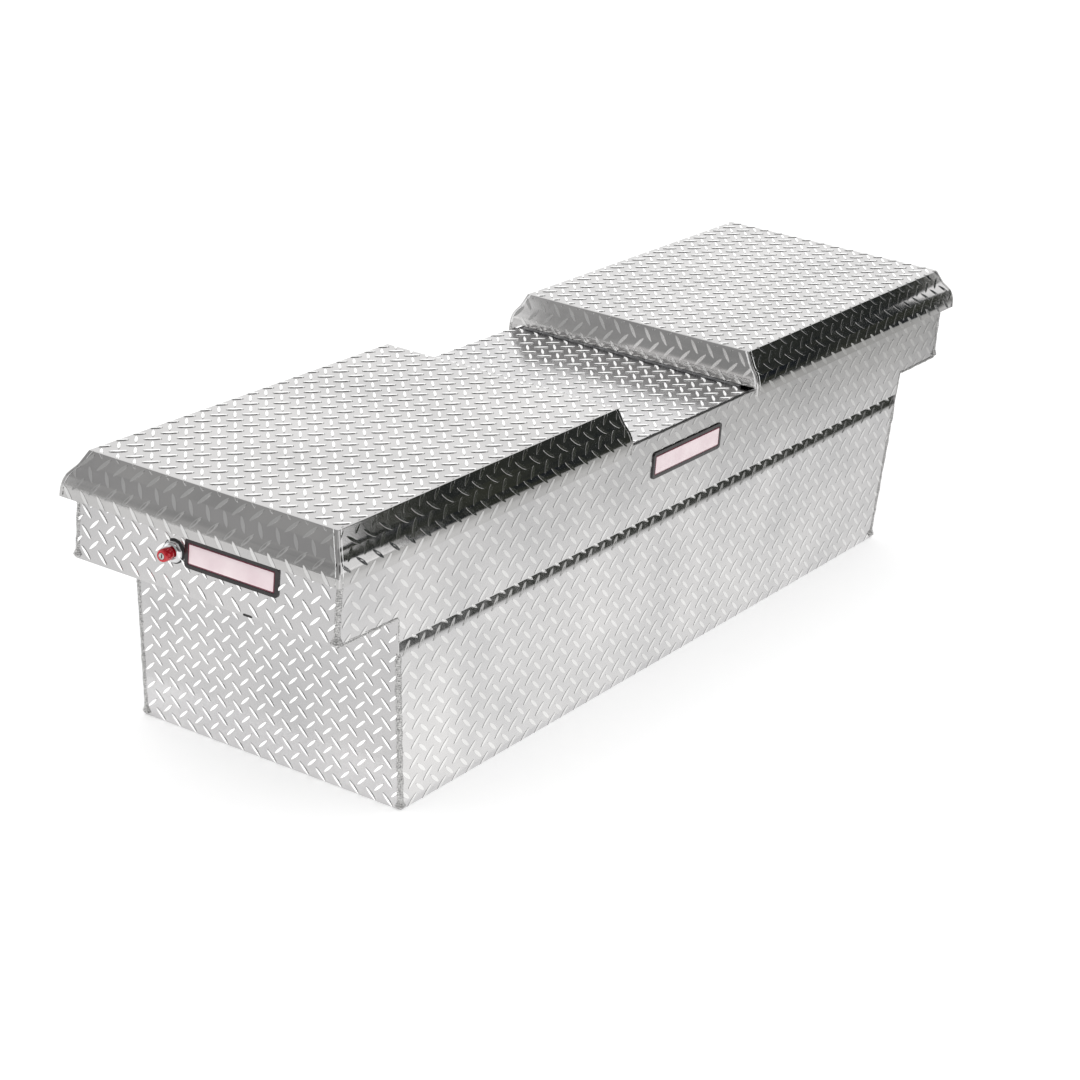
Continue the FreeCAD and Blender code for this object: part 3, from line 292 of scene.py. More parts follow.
# ---------------------------------------------------------------- tread lugs
def lug_template():
    """Points and faces of one pointed, round-backed lug that lies along u."""
    angles = 2 * math.pi * (np.arange(LUG_POINTS) + 0.5) / LUG_POINTS
    lens = np.sign(np.sin(angles)) * np.abs(np.sin(angles)) ** LENS_POWER
    rings = [np.stack([np.cos(angles) * LUG_LONG / 2 * long, lens * LUG_WIDE / 2 * wide,
                       np.full(LUG_POINTS, LUG_HIGH * high)], axis=1) for long, wide, high in LUG_RINGS]
    faces = []
    for ring in range(len(LUG_RINGS) - 1):
        for k in range(LUG_POINTS):
            n = (k + 1) % LUG_POINTS
            faces.append((ring * LUG_POINTS + k, ring * LUG_POINTS + n,
                          (ring + 1) * LUG_POINTS + n, (ring + 1) * LUG_POINTS + k))
    faces.append(tuple(reversed(range(LUG_POINTS))))
    top = (len(LUG_RINGS) - 1) * LUG_POINTS
    faces.append(tuple(range(top, top + LUG_POINTS)))
    return np.concatenate(rings), faces


LUG_MESH, LUG_FACES = lug_template()
LUG_SLOTS = [0] * 2 * LUG_POINTS + [1] * 2 * LUG_POINTS + [0, 1]  # sides and foot, shoulder and crown
PROBE = 1 * MM


def lattice(u_range, v_range, pitch, phase=(0.0, 0.0)):
    """Lug centres and directions that cover a rectangle: two kinds, half a pitch apart."""
    rows = []
    for kind, angle in ((0, math.pi / 4), (1, -math.pi / 4)):
        us, vs = (np.arange(math.floor(low / step) - 1, math.ceil(high / step) + 2) * step
                  + kind * step / 2 + shift
                  for (low, high), step, shift in zip((u_range, v_range), pitch, phase))
        rows += [(u, v, angle) for u in us for v in vs
                 if u_range[0] <= u <= u_range[1] and v_range[0] <= v <= v_range[1]]
    return np.array(rows)


def lugs(name, centres, to_space, body, slot, pitch):
    """One mesh of many lugs; to_space takes (u, v, height, centre u, centre v) as arrays."""
    centre_u, centre_v = centres[:, 0][:, None], centres[:, 1][:, None]
    cos, sin = np.cos(centres[:, 2])[:, None], np.sin(centres[:, 2])[:, None]
    a, b, h = (LUG_MESH[:, k][None, :] for k in range(3))
    u = centre_u + (a * cos - b * sin) * pitch[0] / LUG_PITCH
    v = centre_v + (a * sin + b * cos) * pitch[1] / LUG_PITCH
    points = to_space(*np.broadcast_arrays(u, v, h, centre_u, centre_v)).reshape(-1, 3)
    # a spot on the sheet, its neighbours along u and v and one above it tell which way faces turn
    u, v = centre_u[0, 0], centre_v[0, 0]
    spot, along_u, along_v, higher = to_space(*np.broadcast_arrays(
        u + PROBE * np.array([[0, 1, 0, 0]]), v + PROBE * np.array([[0, 0, 1, 0]]),
        PROBE * np.array([[0, 0, 0, 1]]), u, v))[0]
    inside_out = np.dot(np.cross(along_u - spot, along_v - spot), higher - spot) < 0
    shape = [tuple(reversed(f)) for f in LUG_FACES] if inside_out else LUG_FACES
    faces = [tuple(i + base for i in f) for base in range(0, len(points), len(LUG_MESH)) for f in shape]
    obj = piece(name, points, faces, LUGS, body, slot, crease=60)
    # shoulder and crown faces take the painted-highlight material
    obj.data.materials.append(PAINTED_HIGHLIGHT_CROWNS)
    obj.data.polygons.foreach_set("material_index", LUG_SLOTS * len(centres))


def wander(*place):
    """Smooth unevenness at a place, between about -1 and 1."""
    return noise.noise(Vector(place))


def stack(x, y, z):
    """Points from arrays or numbers of each coordinate."""
    return np.stack(np.broadcast_arrays(x, y, z), axis=-1)


# ---------------------------------------------------------------- bent front and rear sheets
RIM_GAP, END_GAP, EDGE = 2 * MM, 1.5 * MM, 3 * MM


def tub_half(z):
    """Half length of the tub's front and rear sheets at a height."""
    return TUB_BASE - PLATE + (TUB_TOP - TUB_BASE) * np.clip(z / WING_LOW, 0, 1)


def bent_sheet(name, strip, node):
    """T-shaped sheet swept along x: full length above the wings' floor, tapered below it."""
    cut = np.interp(WING_LOW, strip.line[:, 1][::-1], strip.along[::-1])
    points, faces, grid = [], [], []
    wide = WING_HALF - PLATE
    for s in sorted({*strip.along, cut}):
        y, z = strip.at(np.array(s))
        middle = float(tub_half(z))
        xs = [-wide, -middle, middle, wide] if s <= cut else [None, -middle, middle, None]
        grid.append([])
        for x in xs:
            grid[-1].append(None if x is None else len(points))
            if x is not None:
                points.append((x, y, z))
    for upper, lower in zip(grid, grid[1:]):
        for k in range(3):
            corners = (upper[k], upper[k + 1], lower[k + 1], lower[k])
            if None not in corners:
                faces.append(corners if strip.line[0, 0] < 0 else corners[::-1])
    thicken(piece(name, points, [f[::-1] for f in faces], TREAD, "box", "tread_plate", (node,)))


front = Strip(soften(((FRONT + RIM_WIDTH, RIM_TOP), (FRONT, RIM_TOP), (FRONT, BELT_HIGH),
                      (FRONT + BELT_DEPTH, BELT_HIGH), (FRONT, BELT_LOW), (FRONT, 0)),
                     (3 * MM, 2 * MM, 1.5 * MM, 4 * MM)), flip=-1)
rear = Strip(soften(((HALF_DEPTH - RIM_WIDTH, RIM_TOP), (HALF_DEPTH, RIM_TOP), (HALF_DEPTH, WING_LOW),
                     (REAR, JOG_LOW), (REAR, 0)), (3 * MM, 4 * MM, 4 * MM)))
bent_sheet("front_sheet", front, "front_panel")
bent_sheet("rear_sheet", rear, "rear_panel")


def wall_lugs(name, strip):
    """Lugs over a bent sheet, from its rim to its foot."""
    start = RIM_WIDTH + RIM_GAP
    end = strip.along[-1]
    cut = np.interp(WING_LOW, strip.line[:, 1][::-1], strip.along[::-1])

    def to_space(u, s, h, cu, cs):
        s = np.clip(s, start, end)
        upper = (cs < cut) & (np.abs(cu) > TUB_TOP)
        s = np.where(upper, np.minimum(s, cut), s)
        yz, n = strip.at(s), strip.normal(s)
        limit = np.where(s < cut, WING_HALF - PLATE, tub_half(yz[..., 1])) - END_GAP
        x = np.clip(u, -limit, limit)
        return stack(x, yz[..., 0] + n[..., 0] * h, yz[..., 1] + n[..., 1] * h)

    centres = lattice((-WING_HALF, WING_HALF), (start, end), WALL, WALL_PHASE)
    heights = strip.at(centres[:, 1])[:, 1]
    reach = np.where(centres[:, 1] < cut, WING_HALF, tub_half(heights)) - EDGE
    lugs(name, centres[np.abs(centres[:, 0]) < reach], to_space, "box", "tread_plate", WALL)


wall_lugs("front_tread", front)
wall_lugs("rear_tread", rear)


# ---------------------------------------------------------------- flat sheets' lugs
def panel_lugs(name, u_range, v_range, pitch, to_space, keep=None, phase=(0.0, 0.0)):
    """Lugs on one flat sheet, cut off straight at its edges."""
    centres = lattice(u_range, v_range, pitch, phase)
    if keep is not None:
        centres = centres[keep(centres[:, 0], centres[:, 1])]

    def clamped(u, v, h, cu, cv):
        return to_space(np.clip(u, *u_range), np.clip(v, *v_range), h)

    lugs(name, centres, clamped, "box", "tread_plate", pitch)


LOCK_CLEAR, BOLT_CLEAR, JOG_EDGE = 12 * MM, 20 * MM, 8 * MM
END_LEAN = (TUB_TOP - TUB_BASE) / WING_LOW
END_LONG = math.hypot(1, END_LEAN)
for side_name, side in SIDES:
    panel_lugs(f"{side_name}_wing_end_tread", (FRONT + EDGE, HALF_DEPTH - EDGE),
               (WING_LOW + 1 * MM, RIM_TOP - 1 * MM), END,
               lambda u, v, h, side=side: stack(side * (WING_HALF + h), u, v),
               keep=lambda u, v: np.hypot(u - LOCK_Y, v - LOCK_Z) > LOCK_CLEAR, phase=END_PHASE)
    panel_lugs(f"{side_name}_tub_end_tread", (FRONT + EDGE, REAR - EDGE), (1 * MM, WING_LOW), END,
               lambda u, v, h, side=side: stack(side * (TUB_BASE + END_LEAN * v + h / END_LONG), u,
                                                v - h * END_LEAN / END_LONG),
               keep=lambda u, v: (v < JOG_LOW) | (u < HALF_DEPTH - JOG_EDGE), phase=END_PHASE)
    panel_lugs(f"{side_name}_wing_floor_tread", (TUB_TOP + 2 * MM, WING_HALF - PLATE),
               (FRONT + EDGE, HALF_DEPTH - EDGE), TOP,
               lambda u, v, h, side=side: stack(side * u, v, WING_LOW - h),
               keep=lambda u, v: np.hypot(u - BOLT_X, np.abs(v) - BOLT_Y) > BOLT_CLEAR)
panel_lugs("centre_tread", (-PANEL_HALF + 5 * MM, PANEL_HALF - 5 * MM),
           (FRONT + 1 * MM, HALF_DEPTH - 1 * MM), TOP, lambda u, v, h: stack(u, v, PANEL_TOP + h))

# ---------------------------------------------------------------- lids
# (reach, drop) down a lid's outer edge: steep face, shallower face, rounded shoulder, upright lip
TOP_RUN = -20 * MM  # where both lines start, on the lid's top
EDGE_LINE = soften(((TOP_RUN, 0), (0, 0), (0.41 * LID_REACH, 0.32 * LIP_DROP),
                    (0.63 * LID_REACH, 0.43 * LIP_DROP), (0.79 * LID_REACH, 0.52 * LIP_DROP),
                    (0.92 * LID_REACH, INNER_DROP), (0.985 * LID_REACH, 0.83 * LIP_DROP),
                    (LID_REACH, LIP_DROP)),
                   (1.6 * MM, 3 * MM, 3 * MM, 3 * MM, 4 * MM, 5 * MM), steps=3)[1:]
INNER_LINE = soften(((TOP_RUN, 0), (0, 0), (INNER_RUN, INNER_DROP), (INNER_RUN, INNER_END_DROP)),
                    (2.5 * MM, 4 * MM), steps=3)[1:]
CORNER_STEPS = 4
CORNER_R = 2.5 * MM
SHARP_SHARE, ROUND_DROP = 0.15, 10 * MM  # corners start nearly sharp at the top and are round below


def inner_reach(drop):
    """How far a lid's inner end has sloped in at a drop below its top."""
    return np.interp(drop, INNER_LINE[:, 1], INNER_LINE[:, 0])


def lid_skin(name, side):
    """Outer skin of a lid as rings of points, open at the inner end below the hinge gap."""
    reach_at = float(np.interp(INNER_END_DROP, EDGE_LINE[:, 1], EDGE_LINE[:, 0]))
    levels = sorted([*map(tuple, EDGE_LINE), (reach_at, INNER_END_DROP)],
                    key=lambda pair: (pair[1], pair[0]))
    points, faces = [], []
    ring_size = 4 * (CORNER_STEPS + 1)
    for reach, drop in levels:
        x0 = LID_INNER - float(inner_reach(drop))
        x1, y1 = LID_OUTER + reach, LID_FLAT + reach
        r = CORNER_R * min(1.0, SHARP_SHARE + drop / ROUND_DROP)
        for cx, cy, turn in ((x1 - r, y1 - r, 0), (x0 + r, y1 - r, 90),
                             (x0 + r, -y1 + r, 180), (x1 - r, -y1 + r, 270)):
            for step in range(CORNER_STEPS + 1):
                t = math.radians(turn + 90 * step / CORNER_STEPS)
                points.append((side * (cx + r * math.cos(t)), cy + r * math.sin(t), LID_TOP - drop))
    inner_side = 2 * (CORNER_STEPS + 1) - 1
    for ring, (upper, lower) in enumerate(zip(levels, levels[1:])):
        for k in range(ring_size):
            if k == inner_side and upper[1] >= INNER_END_DROP:
                continue
            a, b = ring * ring_size + k, ring * ring_size + (k + 1) % ring_size
            faces.append((a, a + ring_size, b + ring_size, b))
    faces.append(tuple(range(ring_size)))
    if side < 0:
        faces = [f[::-1] for f in faces]
    thicken(piece(name, points, faces, LID_TREAD, name.replace("_shell_skin", ""), "lid_plate",
                  (name.replace("_skin", ""),)), crease=50)


edge_strip = Strip(EDGE_LINE, flip=-1)
inner_strip = Strip(INNER_LINE, flip=-1)
SEAM = 5 * MM
LIP_GAP, RIM_MARGIN, INNER_MARGIN = 0.3 * MM, 1 * MM, 4 * MM


def lid_lugs(name, side, body):
    """Lugs over a lid's top that carry on down its four bent edges."""
    edge_length = edge_strip.along[-1]
    inner_length = inner_strip.along[-1]
    bend = -float(EDGE_LINE[0, 0])
    inner_bend = -float(INNER_LINE[0, 0])

    def flaps(u, v):
        over_y = np.abs(v) - (LID_FLAT - bend)
        over_out = u - (LID_OUTER - bend)
        over_in = (LID_INNER + inner_bend) - u
        return over_y, over_out, over_in

    def to_space(u, v, h, cu, cv):
        over_y, over_out, over_in = flaps(u, v)
        cy, co, ci = flaps(cu, cv)
        on_y = (cy > 0) & (cy >= np.maximum(co, ci)) | (cy <= 0) & (co <= 0) & (ci <= 0) & (over_y > 0)
        on_out = ~on_y & (over_out > 0)
        on_in = ~on_y & (over_in > 0)
        s = np.where(on_y, over_y, np.where(on_out, over_out, 0))
        s = np.clip(s, 0, edge_length - LIP_GAP)
        place, n = edge_strip.at(s), edge_strip.normal(s)
        s_in = np.clip(over_in, 0, inner_length - LIP_GAP)
        place_in, n_in = inner_strip.at(s_in), inner_strip.normal(s_in)
        reach, drop = place[..., 0], place[..., 1]
        x = np.where(on_out, LID_OUTER + reach + n[..., 0] * h,
                     np.where(on_in, LID_INNER - place_in[..., 0] - n_in[..., 0] * h, u))
        y = np.where(on_y, np.sign(v) * (LID_FLAT + reach + n[..., 0] * h), v)
        z = np.where(on_y | on_out, LID_TOP - drop - n[..., 1] * h,
                     np.where(on_in, LID_TOP - place_in[..., 1] - n_in[..., 1] * h, LID_TOP + h))
        low = LID_INNER - inner_reach(drop) + SEAM
        high = LID_OUTER + reach - SEAM
        x = np.where(on_y, np.clip(x, low, high), x)
        reach_in = np.interp(place_in[..., 1], EDGE_LINE[:, 1], EDGE_LINE[:, 0])
        across = LID_FLAT + np.where(on_out, reach, np.where(on_in, reach_in, 0)) \
            - np.where(on_out | on_in, SEAM, 0)
        y = np.where(on_y, y, np.clip(y, -across, across))
        return stack(side * x, y, z)

    far = LIP_DROP + 10 * MM
    centres = lattice((LID_INNER - INNER_END_DROP, LID_OUTER + far), (-LID_FLAT - far, LID_FLAT + far),
                      TOP, LID_PHASE)
    cy, co, ci = flaps(centres[:, 0], centres[:, 1])
    reach_y = np.interp(cy, edge_strip.along, EDGE_LINE[:, 0])
    drop_y = np.interp(cy, edge_strip.along, EDGE_LINE[:, 1])
    reach_o = np.interp(co, edge_strip.along, EDGE_LINE[:, 0])
    drop_i = np.interp(ci, inner_strip.along, INNER_LINE[:, 1])
    fits_top = (cy <= 0) & (co <= 0) & (ci <= 0)
    fits_y = (cy > 0) & (cy < edge_length - RIM_MARGIN) & (centres[:, 0] < LID_OUTER + reach_y - SEAM) \
        & (centres[:, 0] > LID_INNER - inner_reach(drop_y) + SEAM)
    fits_out = (co > 0) & (co < edge_length - RIM_MARGIN) & (np.abs(centres[:, 1]) < LID_FLAT + reach_o - SEAM)
    fits_in = (ci > 0) & (ci < inner_length - INNER_MARGIN) & (
        np.abs(centres[:, 1]) < LID_FLAT + np.interp(drop_i, EDGE_LINE[:, 1], EDGE_LINE[:, 0]) - SEAM)
    lugs(name, centres[fits_top | fits_y | fits_out | fits_in], to_space, body, "lid_plate", TOP)


# (distance from the corner line, height over the sheet) across a weld strip
STRIP_SECTION = ((-7.6 * MM, -0.5 * MM), (-5.0 * MM, 0.8 * MM), (0, 1.2 * MM), (5.0 * MM, 0.8 * MM),
                 (7.6 * MM, -0.5 * MM))
STRIP_ROWS, STRIP_INSET, DIAGONAL = 64, 0.7 * MM, 0.7
STRIP_NOISE, ACROSS_NOISE = 260, 300  # per metre
FOLD_SHARE = 0.78  # how far down the lip's drop the polished strips end


def corner_strips(name, side, body, start, end, material, rough):
    """Weld strips down a lid's four mitred corners, between two distances along its edge line."""
    points, faces = [], []
    width = len(STRIP_SECTION)
    for outer, depth in ((True, -1), (True, 1), (False, -1), (False, 1)):
        base = len(points)
        away = 1 if outer else -1
        for s in np.linspace(start, end, STRIP_ROWS):
            (reach, drop), n = edge_strip.at(s), edge_strip.normal(s)
            corner_x = LID_OUTER + reach if outer else LID_INNER - float(inner_reach(drop))
            for offset, rise in STRIP_SECTION:
                lift = rise + rough * wander(s * STRIP_NOISE, offset * ACROSS_NOISE, 7 * depth + 3 * outer)
                x, y, z = corner_x, LID_FLAT + reach, LID_TOP - drop - lift * n[1]
                if offset < 0:
                    x += offset * away
                    y += lift * n[0]
                elif offset > 0:
                    x += away * lift * (n[0] if outer else 1)
                    y -= offset
                    z = z if outer else LID_TOP - drop
                else:
                    x += away * (lift * DIAGONAL * n[0] - STRIP_INSET)
                    y += lift * DIAGONAL * n[0] - STRIP_INSET
                points.append((side * x, depth * y, z))
        flip = (side * depth > 0) == outer
        for k in range(STRIP_ROWS - 1):
            for j in range(width):
                a, b = base + k * width + j, base + k * width + (j + 1) % width
                quad = (a, b, b + width, a + width)
                faces.append(quad[::-1] if flip else quad)
        for row, turn in ((0, flip), (STRIP_ROWS - 1, not flip)):
            cap = tuple(base + row * width + j for j in range(width))
            faces.append(cap if turn else cap[::-1])
    piece(name, points, faces, material, body, "lid_plate", crease=70)


fold = float(np.interp(FOLD_SHARE * LIP_DROP, EDGE_LINE[:, 1], edge_strip.along))
for side_name, side in SIDES:
    lid_skin(f"{side_name}_lid_shell_skin", side)
    lid_lugs(f"{side_name}_lid_tread", side, f"{side_name}_lid")
    corner_strips(f"{side_name}_lid_corner_strips", side, f"{side_name}_lid",
                  edge_strip.along[0] + 2 * MM, fold, POLISHED_WELD, rough=0.25 * MM)
    corner_strips(f"{side_name}_lid_corner_welds", side, f"{side_name}_lid",
                  fold, edge_strip.along[-1], WELD, rough=0.9 * MM)


# ---------------------------------------------------------------- swept and turned shapes
def sweep(rings, closed_path=False):
    """Points and faces of a row of equal rings of points, capped unless the path closes."""
    size = len(rings[0])
    points = [p for ring in rings for p in ring]
    faces = []
    count = len(rings)
    for k in range(count if closed_path else count - 1):
        for j in range(size):
            a, b = k * size + j, k * size + (j + 1) % size
            c, d = (k + 1) % count * size + (j + 1) % size, (k + 1) % count * size + j
            faces.append((a, b, c, d))
    if not closed_path:
        faces.append(tuple(reversed(range(size))))
        faces.append(tuple(range((count - 1) * size, count * size)))
    return points, faces


def turned(origin, axis, profile, steps=40):
    """Solid turned about an axis; profile is (along, radius) in millimetres, end to end."""
    axis = Vector(axis).normalized()
    across = axis.orthogonal().normalized()
    third = axis.cross(across)
    rings = []
    for along, radius in profile:
        middle, r = Vector(origin) + axis * (along * MM), radius * MM
        turns = (2 * math.pi * k / steps for k in range(steps))
        rings.append([tuple(middle + across * (r * math.cos(t)) + third * (r * math.sin(t)))
                      for t in turns])
    return sweep(rings)


def gather(parts):
    """Several (points, faces) put into one mesh."""
    points, faces = [], []
    for part_points, part_faces in parts:
        base = len(points)
        points += part_points
        faces += [tuple(i + base for i in f) for f in part_faces]
    return points, faces


# ---------------------------------------------------------------- weld beads
BEAD_R, SEAM_R, BELT_R, EDGE_BEAD_R = 4.4 * MM, 1.9 * MM, 1.0 * MM, 1.5 * MM
BEAD_STEP, BEAD_SIDES = 0.9 * MM, 14
RIPPLE, RIPPLE_LONG, UNEVEN, ROUGH = 0.13, 3.4 * MM, 0.22, 0.10
BLOB, BLOB_AT, BLOB_LONG = 0.75, 4 * MM, 6 * MM
TIP_SHARE, TIP_LONG = 0.55, 3 * MM
DRIFT_OUT, DRIFT_ASIDE = 0.6 * MM, 1.1 * MM
INSET = 2.6 * MM
# how quickly each unevenness of a bead changes, per metre
TURN_NOISE, SIZE_NOISE, OUT_NOISE, ASIDE_NOISE, SKIN_NOISE = 90, 60, 70, 55, 420


def bead(foot, head, out, seed, blob_low=False, radius=BEAD_R):
    """Rough hand-laid bead between two points, with stacked ripples; out points away from the corner."""
    foot, head, out = Vector(foot), Vector(head), Vector(out).normalized()
    axis = (head - foot).normalized()
    third = axis.cross(out)
    length = (head - foot).length
    count = int(length / BEAD_STEP)
    rings = []
    for k in range(count + 1):
        along = length * k / count
        turn = along / RIPPLE_LONG * 2 * math.pi + 2 * wander(along * TURN_NOISE, seed, 0)
        size = radius * (1 + RIPPLE * math.sin(turn) + UNEVEN * wander(along * SIZE_NOISE, seed, 4))
        if blob_low:
            size *= 1 + BLOB * math.exp(-((along - BLOB_AT) / BLOB_LONG) ** 2)
        size *= min(1, TIP_SHARE + (1 - TIP_SHARE) * min(along, length - along) / TIP_LONG)
        middle = foot + axis * along + out * (DRIFT_OUT * wander(along * OUT_NOISE, seed, 9)) \
            + third * (DRIFT_ASIDE * wander(along * ASIDE_NOISE, seed, 14))
        ring = []
        for j in range(BEAD_SIDES):
            t = 2 * math.pi * j / BEAD_SIDES
            bump = 1 + ROUGH * wander(along * SKIN_NOISE, math.cos(t) * 3, math.sin(t) * 3 + seed)
            ring.append(tuple(middle + (out * math.cos(t) + third * math.sin(t)) * (size * bump)))
        rings.append(ring)
    return sweep(rings)


wing_beads, tub_beads, seams = [], [], []
for side_name, side in SIDES:
    for depth in (-1, 1):
        out = (side, depth, 0)
        x, y = side * (WING_HALF - INSET), depth * (HALF_DEPTH - INSET)
        wing_beads.append(bead((x, y, WING_LOW + 1.5 * MM), (x, y, RIM_TOP - 1 * MM), out,
                               3 * side + depth, True))
        top = BELT_LOW if depth < 0 else JOG_LOW
        wall = depth * ((HALF_DEPTH if depth < 0 else REAR) - INSET)
        tub_x = TUB_BASE - INSET + (TUB_TOP - TUB_BASE) * top / WING_LOW
        tub_beads.append(bead((side * (TUB_BASE - INSET), wall, 2 * MM), (side * tub_x, wall, top),
                              out, 11 * side + depth, True))
    seam_z = WING_LOW + 0.6 * MM
    seams.append(bead((side * (WING_HALF - 2 * MM), FRONT, seam_z), (side * TUB_TOP, FRONT, seam_z),
                      (0, -1, 0), 23 + side, radius=SEAM_R))
    seams.append(bead((side * float(tub_half(BELT_HIGH)), FRONT, BELT_HIGH),
                      (side * float(tub_half(WING_LOW)), FRONT, WING_LOW),
                      (0, -1, 0), 31 + side, radius=BELT_R))
piece("wing_corner_beads", *gather(wing_beads), WELD, "box", "weld_metal", ("wing_corner_welds",), crease=80)
piece("tub_corner_beads", *gather(tub_beads), WELD, "box", "weld_metal", ("tub_corner_welds",), crease=80)
piece("wing_seam_beads", *gather(seams), WELD, "box", "weld_metal", crease=80)
# wavy black bead along the centre panel's front edge, darkening that edge
edge_bead_y, edge_bead_z = FRONT + 0.2 * MM, RIM_TOP + 0.2 * MM
piece("centre_edge_dark_bead", *bead((-PANEL_HALF, edge_bead_y, edge_bead_z), (PANEL_HALF, edge_bead_y, edge_bead_z),
                                   (0, -1, 0), 41, radius=EDGE_BEAD_R),
      RUBBER, "box", "seal_rubber", crease=80)

# ---------------------------------------------------------------- locks
# profiles in millimetres: (distance out from the wing end, radius)
GASKET = ((0, 11.05), (0, 17.4), (0.4, 18), (1.1, 18), (1.5, 17.4), (1.5, 11.05), (0, 11.05))
BEZEL = ((-24, 8.1), (-24, 10.6), (-23.6, 11), (1.5, 11), (1.5, 15.4), (2.0, 16), (3.6, 16), (4.1, 15.5),
         (4.6, 15.6), (6.4, 14.9), (7.8, 13.6), (8.7, 12.0), (9.0, 11.0), (8.9, 10.4), (8.4, 10.2),
         (4.0, 10.2), (4.0, 8.1), (-24, 8.1))
CAP = ((-29.7, 0.5), (-29.7, 7.4), (-29.1, 8), (10.8, 8), (11, 8.8), (12.2, 9.2), (15, 9.55), (19, 9.6),
       (23, 9.55), (25.4, 9.2), (26.8, 8.6), (27.6, 7.8), (27.8, 7.0), (27.6, 5.3), (14, 5.06), (14, 0.5))
KEY_FACE = ((14.3, 0.5), (14.3, 4.9), (27.0, 5.0), (27.9, 4.7), (28.0, 4.2), (27.5, 3.9), (27.3, 2.4),
            (27.2, 0.3))
KEYWAY = ((-0.75, -2.9), (0.75, -2.9), (0.95, -2.4), (0.95, 2.4), (0.75, 2.9), (-0.75, 2.9), (-0.95, 2.4),
          (-0.95, -2.4))
KEYWAY_ENDS = (26.5, 27.55)
TURN_STEPS = 48
for side_name, side in SIDES:
    out = (side, 0, 0)
    base = (side * WING_HALF, LOCK_Y, LOCK_Z)
    piece(f"{side_name}_gasket_ring", *turned(base, out, GASKET), RUBBER, "box", "gasket",
          (f"{side_name}_lock_gasket",))
    piece(f"{side_name}_bezel", *turned(base, out, BEZEL, steps=TURN_STEPS), CHROME, "box", "lock_chrome",
          (f"{side_name}_lock_housing",), crease=24)
    piece(f"{side_name}_button_cap", *turned(base, out, CAP, steps=TURN_STEPS), BUTTON, f"{side_name}_button",
          "button_red", (f"{side_name}_push_button",), crease=28)
    piece(f"{side_name}_key_face", *turned(base, out, KEY_FACE), KEY_METAL, f"{side_name}_key", "key_metal",
          (f"{side_name}_key_cylinder",), crease=28)
    # black block on the key face, standing in for the dark inside of the keyway slot: painted shade
    points, faces = sweep([[(side * (WING_HALF + d * MM), LOCK_Y + a * MM, LOCK_Z + b * MM)
                            for a, b in KEYWAY] for d in KEYWAY_ENDS])
    piece(f"{side_name}_keyway_painted_shade", points, faces if side > 0 else [f[::-1] for f in faces], BLACK,
          f"{side_name}_key", "key_metal")


# ---------------------------------------------------------------- badge plates
def rounded(long, high, radius, steps=6):
    """Outline of a rectangle with rounded corners, around its middle."""
    ring = []
    for cx, cy, turn in ((1, 1, 0), (-1, 1, 90), (-1, -1, 180), (1, -1, 270)):
        for k in range(steps + 1):
            t = math.radians(turn + 90 * k / steps)
            ring.append((cx * (long / 2 - radius) + radius * math.cos(t),
                         cy * (high / 2 - radius) + radius * math.sin(t)))
    return ring


# layers of a badge, in millimetres: (depth under the plate's face, inset from its edge, corner radius)
BADGE_FRAME = ((0.5, 0, 6), (0, 0.5, 5.6), (0, 5.6, 2.6), (0.7, 6.0, 2.4), (0.7, 14, 1))
BADGE_BORDER = ((1.2, 6.4, 2.2), (0.5, 6.4, 2.2), (0.4, 6.6, 2.0), (0.4, 14, 1))
BADGE_FIELD = ((1.1, 8.2, 1.2), (0.3, 8.2, 1.2), (0.2, 8.5, 1.0), (0.2, 14, 0.8))


def badge(name, node, centre, across, out, long, high, thick):
    """Blank plate: rounded black frame, maroon border and pale field."""
    centre, across, out = Vector(centre), Vector(across), Vector(out)
    up = Vector((0, 0, 1))
    turn = across.cross(up).dot(out) < 0

    def plate(part, levels, material, nodes=()):
        rings = [[tuple(centre + across * a + up * b + out * (thick - depth * MM)) for a, b in rounded(
            long - 2 * inset * MM, high - 2 * inset * MM, radius * MM)] for depth, inset, radius in levels]
        points, faces = sweep(rings)
        piece(f"{name}_{part}", points, [f[::-1] for f in faces] if turn else faces, material, "box", "badge",
              nodes, crease=28)

    plate("frame", ((thick / MM, 0, 6), *BADGE_FRAME), BLACK, (node,))
    plate("border", BADGE_BORDER, MAROON)
    plate("field", BADGE_FIELD, FIELD)


SLOT_Z, SLOT_LONG, SLOT_HIGH, SLOT_R = WING_LOW + 2.2 * MM, 15 * MM, 3.4 * MM, 1.6 * MM
SLOT_ENDS = (-1.6 * MM, 0.25 * MM)
low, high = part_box("front_badge_plate")
badge("front_badge", "front_badge_plate", (0, FRONT, (low.z + high.z) / 2), (1, 0, 0), (0, -1, 0),
      high.x - low.x, high.z - low.z, high.y - low.y)
for side_name, side in SIDES:
    low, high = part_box(f"{side_name}_badge_plate")
    badge(f"{side_name}_badge", f"{side_name}_badge_plate",
          (side * WING_HALF, (low.y + high.y) / 2, (low.z + high.z) / 2), (0, 1, 0), (side, 0, 0),
          high.y - low.y, high.z - low.z, high.x - low.x)

    # black plug filling the drain slot: painted shadow standing in for the dark inside of the slot
    points, faces = sweep([[(side * (WING_HALF + d), SLOT_Y + a, SLOT_Z + b)
                            for a, b in rounded(SLOT_LONG, SLOT_HIGH, SLOT_R, steps=3)] for d in SLOT_ENDS])
    piece(f"{side_name}_slot_painted_shadow", points, faces if side > 0 else [f[::-1] for f in faces], RUBBER, "box",
          "seal_rubber")

# ---------------------------------------------------------------- seals
SEAL_WIDE, SEAL_CORNER = 10 * MM, 9 * MM
